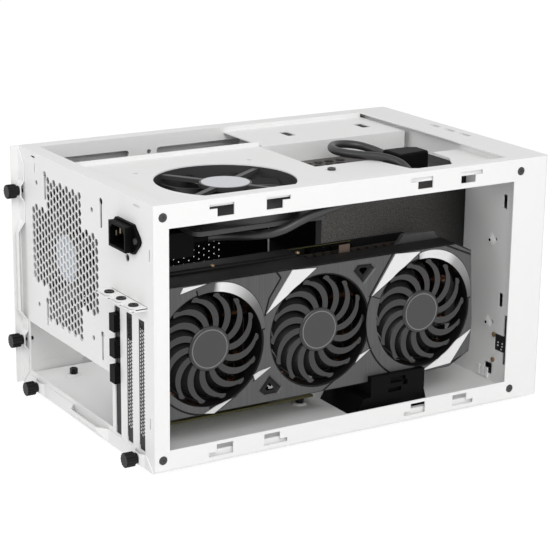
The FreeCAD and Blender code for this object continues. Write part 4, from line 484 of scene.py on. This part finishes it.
def keyhole(x, low, length=24.0 * MM, width=3.4 * MM, head=3.0 * MM):
    """Upright slot with a round head, as one outline."""
    half = width / 2
    neck = math.asin(half / head)
    middle = low + length - head
    points = [(x - half, low), (x + half, low)]
    steps = 14
    for i in range(steps + 1):
        turn = -math.pi / 2 + neck + (2 * math.pi - 2 * neck) * i / steps
        points.append((x + head * math.cos(turn), middle + head * math.sin(turn)))
    return points


def opening(x0, x1, z0, z1):
    """Rectangle in the rear sheet between millimetre places."""
    return rectangle(x0 * MM, x1 * MM, up(z0), up(z1))


def rear_sheet():
    cuts = [rectangle(rear_low.x, rear_high.x, rear_low.z, rear_high.z)]
    for i in (-1, 1):
        for j in (-1, 1):
            cuts.append(circle(FAN_X + i * FAN_HALF, FAN_Z + j * FAN_HALF, FAN_SCREW_R))
    cuts += [keyhole(x * MM, up(z)) for x, z in KEYHOLES]
    cuts += [opening(x - SLOT_HALF, x + SLOT_HALF, *SLOT_HEIGHTS) for x in SLOT_MIDDLES]
    cuts.append(opening(*SHELF_ENDS, SHELF_TOP, TAB_GAP_TOP))
    cuts.append(opening(*PORT_OPENING))
    cuts.append(opening(*INLET_OPENING))
    cuts += [opening(x - w / 2, x + w / 2, z - h / 2, z + h / 2) for x, z, w, h in REAR_SLITS]
    x, z, radius = LATCH_HOLE
    cuts.append(circle(x * MM, up(z), radius * MM))
    plate = punched_sheet(cuts, SHEET, plus_field(), FINE_HOLE / math.sqrt(3))
    return laid(plate, (0, Y_REAR, 0), (1, 0, 0), (0, 0, 1))


def rear_folds():
    """Edges folded inwards at both sides and along the top."""
    x0 = rear_low.x
    x1 = rear_high.x
    y0 = Y_REAR - STILE
    y1 = Y_REAR - SHEET
    low = rear_low.z + SHEET
    high = Z_TOP - SHEET
    return [
        box_mesh((x0, y0, low), (x0 + SHEET, y1, high)),
        box_mesh((x1 - SHEET, y0, low), (x1, y1, high)),
        box_mesh((X_NEAR + FLANGE, y0, high), (x1 + SHEET - FLANGE, y1, Z_TOP)),
    ]


def shelf_outline(inset):
    """Plan of the ledge, drawn in by the inset."""
    out = SHELF_OUT - inset
    dip = SHELF_DIP_OUT - inset
    low = SHELF_ENDS[0] * MM + inset
    high = SHELF_ENDS[1] * MM - inset
    edge = [(high, 0.0), (high, out)]
    for x in SLOT_MIDDLES:
        edge += [((x - aside) * MM, reach) for aside, reach in zip(SHELF_DIP, (out, dip, dip, out))]
    return edge[:-2] + [(low, dip), (low, 0.0)]


def slot_shelf():
    """Ledge with a wavy edge that carries the slot screws."""
    ledge = punched_sheet([shelf_outline(0.0)], SHEET)
    return laid(ledge, (0, Y_REAR, up(SHELF_TOP) - SHEET), (1, 0, 0), (0, 1, 0))


back = joined("rear_panel_sheet", [rear_sheet(), slot_shelf()] + rear_folds(), white_coat)
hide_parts("rear_panel")
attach(back, "chassis")


# Far panel and its filter, with the vent made fine

VENT_PITCH = 6.0 * MM
VENT_HOLE = 3.6 * MM
FILTER_HOLE = 1.25 * MM
FILTER_CLEAR = into(196.0)     # the filter has no holes beyond this
VENT_HALF = (131.0 * MM, 54.0 * MM)
VENT_Y = into(172.0)
VENT_Z = up(112.0)


def vent_field():
    centres = []
    for u, v in honeycomb(VENT_HALF[0], VENT_HALF[1], VENT_PITCH):
        if abs(u) < VENT_HALF[0] and abs(v) < VENT_HALF[1]:
            centres.append((VENT_Y + u, VENT_Z + v))
    return centres


def vent_sheet(low, high, thickness, centres, radius):
    """Upright sheet along the case with the vent's holes, its outer face at the high corner's X."""
    outline = rectangle(low.y, high.y, low.z, high.z)
    plate = punched_sheet([outline], thickness, centres, radius, SMALL_ROUND)
    return laid(plate, (high.x - thickness, 0, 0), (0, 1, 0), (0, 0, 1))


def far_panel_folds():
    """The panel's flange and hooks, from its solid without the flat sheet."""
    shape = merged_node("far_side_panel")
    flat = [face for face in shape.faces
            if min(corner.co.x for corner in face.verts) > X_FAR - SHEET - WELD]
    bmesh.ops.delete(shape, geom=flat, context="FACES")
    return mesh_of(shape, "folds")


vented = vent_sheet(far_low, far_high, SHEET, vent_field(), VENT_HOLE / 2)
side = joined("far_panel_sheet", [vented, far_panel_folds()], white_coat)
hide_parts("far_side_panel")
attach(side, "far_panel")

filter_low, filter_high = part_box("dust_filter")
filter_thick = filter_high.x - filter_low.x
clear_part = [(y, z) for y, z in vent_field() if y > FILTER_CLEAR]
sieve = vent_sheet(filter_low, filter_high, filter_thick, clear_part, FILTER_HOLE / 2)
mesh_sheet = joined("dust_filter_mesh", [sieve], black_and_painted_shade)
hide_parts("dust_filter")
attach(mesh_sheet, "far_panel")


# Labels, hub discs and small fittings

FACING = {
    "near": ((0, -1, 0), (0, 0, 1)),
    "rear": ((-1, 0, 0), (0, 0, 1)),
    "top": ((1, 0, 0), (0, 1, 0)),
}
LABEL_THICK = 0.2 * MM


def fitting(name, meshes, material, body="chassis"):
    """A small piece of its own that moves with one body."""
    obj = joined(name, meshes, material)
    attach(obj, body)


def disc(centre, facing, outer, inner=0.0, thickness=LABEL_THICK, corners=48):
    """Round plate, or a ring, that stands off its centre the way it faces."""
    outlines = [circle(0, 0, outer, corners)]
    if inner:
        outlines.append(circle(0, 0, inner, corners))
    return laid(punched_sheet(outlines, thickness), centre, *FACING[facing])


# Middles of the card's fans, in millimetres from the rear face
CARD_FANS = (55.7, 155.5, 255.3)
CARD_FAN_Z = 91.4 * MM
CARD_HUB_X = -107.4 * MM
CARD_HUB_R = 16.6 * MM
HUB_RING = (15.5 * MM, 15.0 * MM, 0.15 * MM)

for i, distance in enumerate(CARD_FANS, 1):
    wheel = "card_wheel_%d" % i
    centre = Vector((CARD_HUB_X, into(distance), CARD_FAN_Z))
    on_hub = centre - Vector((LABEL_THICK, 0, 0))
    fitting("card_hub_%d" % i, [disc(centre, "near", CARD_HUB_R)], hub_grey, wheel)
    fitting("card_hub_ring_%d" % i, [disc(on_hub, "near", *HUB_RING)], hub_silver, wheel)

LABEL_R = 19.4 * MM
TOP_LABEL = (-50.5 * MM, 76.6 * MM, 206.5 * MM)
REAR_LABEL = (FAN_X, 176.1 * MM, FAN_Z)
fitting("top_fan_label", [disc(TOP_LABEL, "top", LABEL_R)], label_grey)
fitting("rear_fan_label", [disc(REAR_LABEL, "rear", LABEL_R)], label_blue)

# Power supply: margin and label on the end towards the rear; the label is near black, its own black
# deepened by painted shade
psu_low, psu_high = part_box("psu_body")


def psu_end(near, edge, start, end):
    """Thin plate on the supply's end, in from its near side and its other edges, in millimetres."""
    return box_mesh((psu_low.x + near * MM, psu_high.y + start * MM, psu_low.z + edge * MM),
                    (psu_high.x - edge * MM, psu_high.y + end * MM, psu_high.z - edge * MM))


fitting("psu_end_margin", [psu_end(0.4, 0.4, 0.0, 0.1)], psu_margin)
# the label's own black deepened by painted shade
fitting("psu_end_label_and_shade", [psu_end(8.7, 3.0, 0.1, 0.3)], black_and_painted_shade)

# Card: bare edge of its board, roof screws, clamp plate, edge of the cooler's plate
board_low, board_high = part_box("card_board")
COVERED_END = 20.0 * MM
BARE_EDGE = 0.25 * MM
bare_strip = box_mesh((board_low.x, board_low.y, board_high.z),
                      (board_high.x, board_high.y - COVERED_END, board_high.z + BARE_EDGE))
fitting("card_board_edge", [bare_strip], board_olive)

# Outline of a screw head with a hollow in its middle, out and up in shares of its radius
HEAD_OUTLINE = ((1.0, 0.0), (1.0, 0.35), (0.9, 0.6), (0.6, 0.78), (0.45, 0.78), (0.38, 0.45))


def round_head(x, y, z, radius, corners=20):
    """Domed screw head, standing upright on a millimetre place."""
    shape = bmesh.new()
    rows = []
    for share, rise in HEAD_OUTLINE:
        ring = circle(x * MM, y * MM, share * radius, corners)
        rows.append([shape.verts.new((u, v, z * MM + rise * radius)) for u, v in ring])
    for low, high in zip(rows, rows[1:]):
        for i in range(corners):
            j = (i + 1) % corners
            shape.faces.new((low[i], low[j], high[j], high[i]))
    shape.faces.new(rows[-1])
    shape.faces.new(rows[0][::-1])
    return mesh_of(shape, "round_head")


ROOF_SCREWS = ((-77.6, 103.6, 147.6), (-77.6, 25.4, 147.6))
ROOF_SCREW_R = 2.0 * MM
CLAMP_PLATE = (-80.4, -79.6, -23.1, -12.7, 142.2, 150.0)
PLATE_EDGE = (-88.2, -85.5, -77.0, 14.0, 142.2, 144.0)
fitting("card_roof_screws", [round_head(*place, ROOF_SCREW_R) for place in ROOF_SCREWS],
        gold_screw)
fitting("card_clamp_plate", [block(*CLAMP_PLATE)], bronze_plate)
fitting("card_plate_edge", [block(*PLATE_EDGE)], brown_edge)

# Card: ridge on its front end and two slashes low on its face
RIDGE = [(-68.0, 142.2), (-112.0, 142.2), (-106.0, 150.6), (-75.0, 151.4)]
RIDGE_X = (-82.0, -78.0)
LOW_SLASHES = ([(128.1, 40.3), (118.1, 44.6), (104.3, 48.2), (119.9, 39.0)],
               [(84.5, 64.2), (80.0, 66.5), (68.5, 68.7), (83.1, 60.0)])
SLASH_X = (-110.1, -109.2)


def bar(outline, x0, x1):
    """Bar along X from an outline of lengths and heights in millimetres."""
    plan = [(y * MM, z * MM) for y, z in outline]
    return laid(punched_sheet([plan], (x1 - x0) * MM), (x0 * MM, 0, 0), (0, 1, 0), (0, 0, 1))


fitting("card_front_ridge", [bar(RIDGE, *RIDGE_X)], gunmetal)
fitting("card_low_slashes", [bar(outline, *SLASH_X) for outline in LOW_SLASHES],
        slash_white)

# Card: arcs with painted light along their length, a painted highlight falling to painted shade, by
# angle about the first and the last fan
ARC_PAINTED_LIGHT = {
    CARD_FANS[0]: ((104.0, 0.06), (85.0, 0.07), (83.0, 0.80), (70.0, 0.70), (50.0, 0.30),
                   (35.0, 0.12), (12.0, 0.09)),
    CARD_FANS[2]: ((96.0, 0.40), (91.0, 0.74), (62.0, 0.70), (52.0, 0.32), (12.0, 0.10), (8.0, 0.10)),
}
ARC_REACH = 54.4 * MM
TRIM_TONE = 0.76


def painted_light_at(stops, degrees):
    """Painted light at an angle, between the stops around it."""
    if degrees >= stops[0][0]:
        return stops[0][1]
    for (high, tone_high), (low, tone_low) in zip(stops, stops[1:]):
        if degrees >= low:
            return tone_low + (tone_high - tone_low) * (degrees - low) / (high - low)
    return stops[-1][1]


def islands(shape):
    """Sets of points that hang together."""
    left = set(shape.verts)
    while left:
        found = {left.pop()}
        edge = list(found)
        while edge:
            point = edge.pop()
            for line in point.link_edges:
                other = line.other_vert(point)
                if other not in found:
                    found.add(other)
                    edge.append(other)
        left -= found
        yield found


def trim_with_painted_light():
    """The card's pale trim, with a tone kept at each point: its own tone, and painted highlight and
    shade on the arcs.
    """
    shape = merged_node("card_trim")
    tone = shape.verts.layers.float.new("tone")
    for island in islands(shape):
        for point in island:
            point[tone] = TRIM_TONE
        # painted highlight and shade: points on an arc take their tone from its angle about the fan
        for distance, stops in ARC_PAINTED_LIGHT.items():
            ways = [(point, into(distance) - point.co.y, point.co.z - CARD_FAN_Z) for point in island]
            if all(math.hypot(y, z) < ARC_REACH for _, y, z in ways):
                for point, y, z in ways:
                    point[tone] = painted_light_at(stops, math.degrees(math.atan2(z, y)))
    mesh = mesh_of(shape, "card_trim_painted_light")
    mesh.materials.append(silver_trim)
    return placed("card_trim_painted_light", mesh)


trim = trim_with_painted_light()
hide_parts("card_trim")
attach(trim, "chassis")

# Card slots: clamp plate over the tabs
CLAMP_UNDER = up(SHELF_TOP) + 0.95 * MM
CLAMP_THICK = 0.5 * MM
CLAMP_INSET = 0.3 * MM
CLAMP_SCREW_OUT = 6.5 * MM
CLAMP_SCREW_R = 4.1 * MM
SKIRT_INSET = 0.4 * MM
SKIRT_OUT = (9.55 * MM, 9.7 * MM)


def slot_clamp():
    """Thin plate with a hole round each screw, and a skirt down to the ledge."""
    holes = [circle(x * MM, CLAMP_SCREW_OUT, CLAMP_SCREW_R) for x in SLOT_MIDDLES]
    plate = punched_sheet([shelf_outline(CLAMP_INSET)] + holes, CLAMP_THICK)
    low = SHELF_ENDS[0] * MM + SKIRT_INSET
    high = SHELF_ENDS[1] * MM - SKIRT_INSET
    skirt = box_mesh((low, Y_REAR + SKIRT_OUT[0], up(SHELF_TOP)),
                     (high, Y_REAR + SKIRT_OUT[1], CLAMP_UNDER))
    return [laid(plate, (0, Y_REAR, CLAMP_UNDER), (1, 0, 0), (0, 1, 0)), skirt]


fitting("slot_clamp", slot_clamp(), white_coat)

# Card slots: fine covers and the pale strips behind their holes, in millimetres
COVER_HALF = 4.7
COVER_HEIGHTS = (20.0, 121.0)
COVER_PITCH = 2.9
COVER_FIRST = 29.0
COVER_ROWS = 31
COVER_HOLE_R = 1.2
COVER_THICK = 0.3
COVER_DEPTH = 0.45
STRIPS = ((-85.8, -76.4, 100.0), (-106.1, -96.7, 114.0))
STRIP_Y = (177.15, 177.3)
STRIP_LOW = 27.0


def slot_mesh(middle):
    """Black cover in a card slot with three columns of round holes."""
    low, high = COVER_HEIGHTS
    outline = rectangle((middle - COVER_HALF) * MM, (middle + COVER_HALF) * MM, low * MM, high * MM)
    centres = [((middle + COVER_PITCH * i) * MM, (COVER_FIRST + COVER_PITCH * (j + i % 2 / 2)) * MM)
               for i in (-1, 0, 1) for j in range(COVER_ROWS)]
    plate = punched_sheet([outline], COVER_THICK * MM, centres, COVER_HOLE_R * MM, SMALL_ROUND)
    return laid(plate, (0, into(COVER_DEPTH), 0), (1, 0, 0), (0, 0, 1))


fitting("slot_cover_mesh", [slot_mesh(x) for x in SLOT_MIDDLES[1:]], black_satin)
fitting("slot_cover_backs", [block(x0, x1, *STRIP_Y, STRIP_LOW, high) for x0, x1, high in STRIPS],
        white_moulding)

# Front wall: pressed dimples, screws and clip, and marks on the small board, in millimetres
WALL_Y = -162.9
DIMPLES = ((-86.4, 136.9), (-86.1, 63.7))
DIMPLE_STEPS = ((6.6, 0.0, 0.15), (5.0, 0.15, 0.55), (3.4, 0.55, 0.85), (2.2, 0.85, 1.0))
DIMPLE_TOP = DIMPLE_STEPS[-1][2]
DIMPLE_HOLE_R = 1.3
DIMPLE_HOLE_OUT = 0.1
WALL_SCREWS = ((-97.6, 55.4), (-97.4, 32.7))
WALL_SCREW_R = 2.1
WALL_SCREW_HOLLOW_R = 0.9
WALL_SCREW_OUT = 1.2
CLIP_BARS = (-91.5, -86.2, -80.9)
CLIP_WIDTH = 3.4
CLIP_OUT = 1.4
CLIP_HEIGHTS = (15.0, 23.5)
BOARD_MARKS = ((-102.3, 49.4), (-108.0, 49.5), (-102.1, 46.7), (-107.8, 46.8), (-106.8, 44.1))
MARK_R = 0.7
MARK_OUT = 0.4
io_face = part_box("front_io_board")[1].y


def on_wall(x, z, proud=0.0):
    """Place on the front wall's inner face, or this much proud of it."""
    return (x * MM, (WALL_Y + proud) * MM, z * MM)


fitting("wall_dimples", [disc(on_wall(x, z, low), "rear", radius * MM, thickness=(high - low) * MM)
                         for x, z in DIMPLES for radius, low, high in DIMPLE_STEPS],
        white_coat)
# painted shade: near-black discs stand for the dark holes in the dimples
fitting("wall_dimple_hole_shade", [disc(on_wall(x, z, DIMPLE_TOP), "rear", DIMPLE_HOLE_R * MM,
                                   thickness=DIMPLE_HOLE_OUT * MM, corners=20)
                              for x, z in DIMPLES], black_and_painted_shade)
fitting("wall_screws", [disc(on_wall(x, z), "rear", WALL_SCREW_R * MM, WALL_SCREW_HOLLOW_R * MM,
                             WALL_SCREW_OUT * MM, 20)
                        for x, z in WALL_SCREWS], gold_screw)
fitting("wall_clip", [block(x, x + CLIP_WIDTH, WALL_Y, WALL_Y + CLIP_OUT, *CLIP_HEIGHTS)
                      for x in CLIP_BARS], white_moulding)
fitting("board_marks", [disc((x * MM, io_face, z * MM), "rear", MARK_R * MM,
                             thickness=MARK_OUT * MM, corners=12)
                        for x, z in BOARD_MARKS], white_moulding)

# Bezel: painted shade under its three slots, as near-black floors
BEZEL_SLOTS = (24.7, 2.2, -20.0)
BEZEL_SLOT_HALF = 7.6
BEZEL_SLOT_FLOOR = (-185.0, -178.8, 204.6, 205.0)
fitting("bezel_slot_painted_shade", [block(x - BEZEL_SLOT_HALF, x + BEZEL_SLOT_HALF, *BEZEL_SLOT_FLOOR)
                              for x in BEZEL_SLOTS], black_and_painted_shade)


# Power lead: points of its middle line across, in from the rear face and above the underside

LEAD_R = 3.5 * MM
LEAD_ROUTE = (
    (-79.0, 68.0, 168.0),
    (-79.0, 77.0, 168.0), (-85.0, 87.0, 168.4), (-100.0, 99.0, 170.2), (-112.6, 114.0, 173.8),
    (-116.0, 135.0, 183.6), (-115.6, 160.0, 189.2), (-113.6, 186.0, 192.2), (-108.4, 212.0, 194.2),
    (-99.4, 236.0, 195.4), (-86.0, 255.0, 196.0), (-72.0, 264.0, 198.6), (-58.0, 263.0, 203.6),
    (-45.6, 254.0, 206.4), (-32.4, 239.6, 206.4), (-13.6, 231.0, 206.4), (6.4, 236.0, 206.3),
    (18.0, 252.0, 205.6), (14.0, 270.0, 203.6), (-1.0, 279.0, 200.4), (-10.0, 280.0, 199.2),
    (-22.0, 280.0, 199.2),
)


def power_lead():
    curve = bpy.data.curves.new("power_lead_line", "CURVE")
    curve.dimensions = "3D"
    curve.bevel_depth = LEAD_R
    curve.bevel_resolution = 5
    curve.use_fill_caps = True
    line = curve.splines.new("NURBS")
    line.points.add(len(LEAD_ROUTE) - 1)
    for point, (x, distance, height) in zip(line.points, LEAD_ROUTE):
        point.co = (x * MM, into(distance), up(height), 1.0)
    line.order_u = 3
    line.use_endpoint_u = True
    line.resolution_u = 10
    curve.materials.append(lead_jacket)
    return placed("power_lead_cord", curve)


lead = power_lead()
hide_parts("power_lead")
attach(lead, "chassis")
start = LEAD_ROUTE[0]
into(start[1])
up(start[2])


# Floor, light and camera

FLOOR_REACH = 6.0
FLOOR_TONE = (0.9, 0.9, 0.9, 1.0)
FLOOR_GLOW = 1.14
FLOOR_GLOW_SHARE = 0.8
SKY_STRENGTH = 0.54
PURE_WHITE = (1.0, 1.0, 1.0, 1.0)
CAMERA_AZIMUTH = math.radians(238.4407)
CAMERA_ELEVATION = math.radians(16.2209)
CAMERA_ROLL = math.radians(0.7326)
CAMERA_PLACE = (-1263.1, 591.5, 528.4)     # millimetres across, beyond the rear face and up
LENS = 116.46
AIM = (0, 0, 0.1)


def looked_at(tree):
    """One for a look straight from the camera, by reflection or through something clear."""
    path = tree.nodes.new("ShaderNodeLightPath")
    total = path.outputs["Is Camera Ray"]
    for name in ("Is Glossy Ray", "Is Transmission Ray"):
        add = tree.nodes.new("ShaderNodeMath")
        add.operation = "ADD"
        add.use_clamp = True
        tree.links.new(total, add.inputs[0])
        tree.links.new(path.outputs[name], add.inputs[1])
        total = add.outputs["Value"]
    return total


def pale_floor():
    """Wide floor that looks near white and lights the object as a plain one would."""
    mesh = bpy.data.meshes.new("floor")
    corners = rectangle(-FLOOR_REACH, FLOOR_REACH, -FLOOR_REACH, FLOOR_REACH)
    mesh.from_pydata([(x, y, 0) for x, y in corners], [], [(0, 1, 2, 3)])
    obj = placed("floor", mesh)
    material = bpy.data.materials.new("floor_white")
    material.use_nodes = True
    tree = material.node_tree
    tree.nodes.clear()
    out = tree.nodes.new("ShaderNodeOutputMaterial")
    diffuse = tree.nodes.new("ShaderNodeBsdfDiffuse")
    diffuse.inputs["Color"].default_value = FLOOR_TONE
    glow = tree.nodes.new("ShaderNodeEmission")
    glow.inputs["Color"].default_value = PURE_WHITE
    glow.inputs["Strength"].default_value = FLOOR_GLOW
    mix = tree.nodes.new("ShaderNodeMixShader")
    mix.inputs["Fac"].default_value = FLOOR_GLOW_SHARE
    tree.links.new(diffuse.outputs[0], mix.inputs[1])
    tree.links.new(glow.outputs[0], mix.inputs[2])
    seen = tree.nodes.new("ShaderNodeMixShader")
    tree.links.new(looked_at(tree), seen.inputs["Fac"])
    tree.links.new(diffuse.outputs[0], seen.inputs[1])
    tree.links.new(mix.outputs[0], seen.inputs[2])
    tree.links.new(seen.outputs[0], out.inputs["Surface"])
    mesh.materials.append(material)
    return obj


def area_light(name, place, target, size, power):
    data = bpy.data.lights.new(name, "AREA")
    data.shape = "RECTANGLE"
    data.size = size[0]
    data.size_y = size[1]
    data.energy = power
    obj = placed(name, data)
    obj.location = place
    obj.rotation_euler = (Vector(target) - Vector(place)).to_track_quat("-Z", "Y").to_euler()


def studio_world():
    """Even light from all round, pale grey to look at."""
    world = bpy.data.worlds.new("studio")
    bpy.context.scene.world = world
    world.use_nodes = True
    tree = world.node_tree
    sky = tree.nodes["Background"]
    sky.inputs["Color"].default_value = PURE_WHITE
    sky.inputs["Strength"].default_value = SKY_STRENGTH
    pale = tree.nodes.new("ShaderNodeBackground")
    pale.inputs["Strength"].default_value = 1.0
    mix = tree.nodes.new("ShaderNodeMixShader")
    out = tree.nodes["World Output"]
    tree.links.new(looked_at(tree), mix.inputs["Fac"])
    tree.links.new(sky.outputs[0], mix.inputs[1])
    tree.links.new(pale.outputs[0], mix.inputs[2])
    tree.links.new(mix.outputs[0], out.inputs["Surface"])


def photo_camera():
    data = bpy.data.cameras.new("camera")
    data.lens = LENS
    data.sensor_width = 36.0
    data.clip_start = 0.05
    data.clip_end = 40.0
    camera = placed("camera", data)
    flat = math.cos(CAMERA_ELEVATION)
    behind = Vector((math.sin(CAMERA_AZIMUTH) * flat, -math.cos(CAMERA_AZIMUTH) * flat,
                     math.sin(CAMERA_ELEVATION)))
    right = Vector((0, 0, 1)).cross(behind).normalized()
    above = behind.cross(right)
    cosine = math.cos(CAMERA_ROLL)
    sine = math.sin(CAMERA_ROLL)
    rolled_right = right * cosine + above * sine
    rolled_up = above * cosine - right * sine
    turn = Matrix((rolled_right, rolled_up, behind)).transposed().to_4x4()
    x, beyond, height = CAMERA_PLACE
    place = Vector((x * MM, Y_REAR + beyond * MM, up(height)))
    camera.matrix_world = Matrix.Translation(place) @ turn
    bpy.context.scene.camera = camera


floor = pale_floor()
area_light("key_light", (-2.0, 0.68, 1.7), AIM, (1.4, 1.4), 29.5)
area_light("side_light", (-2.4, -0.3, 0.5), AIM, (1.2, 0.8), 4.5)
area_light("rear_light", (0.1, 2.15, 1.25), AIM, (1.6, 1.0), 11.0)
area_light("inner_light", (0.066, 0.06, 0.128), (0.066, 0.06, 0.0), (0.07, 0.18), 0.10)
studio_world()
photo_camera()
bpy.context.scene.view_settings.view_transform = "Standard"
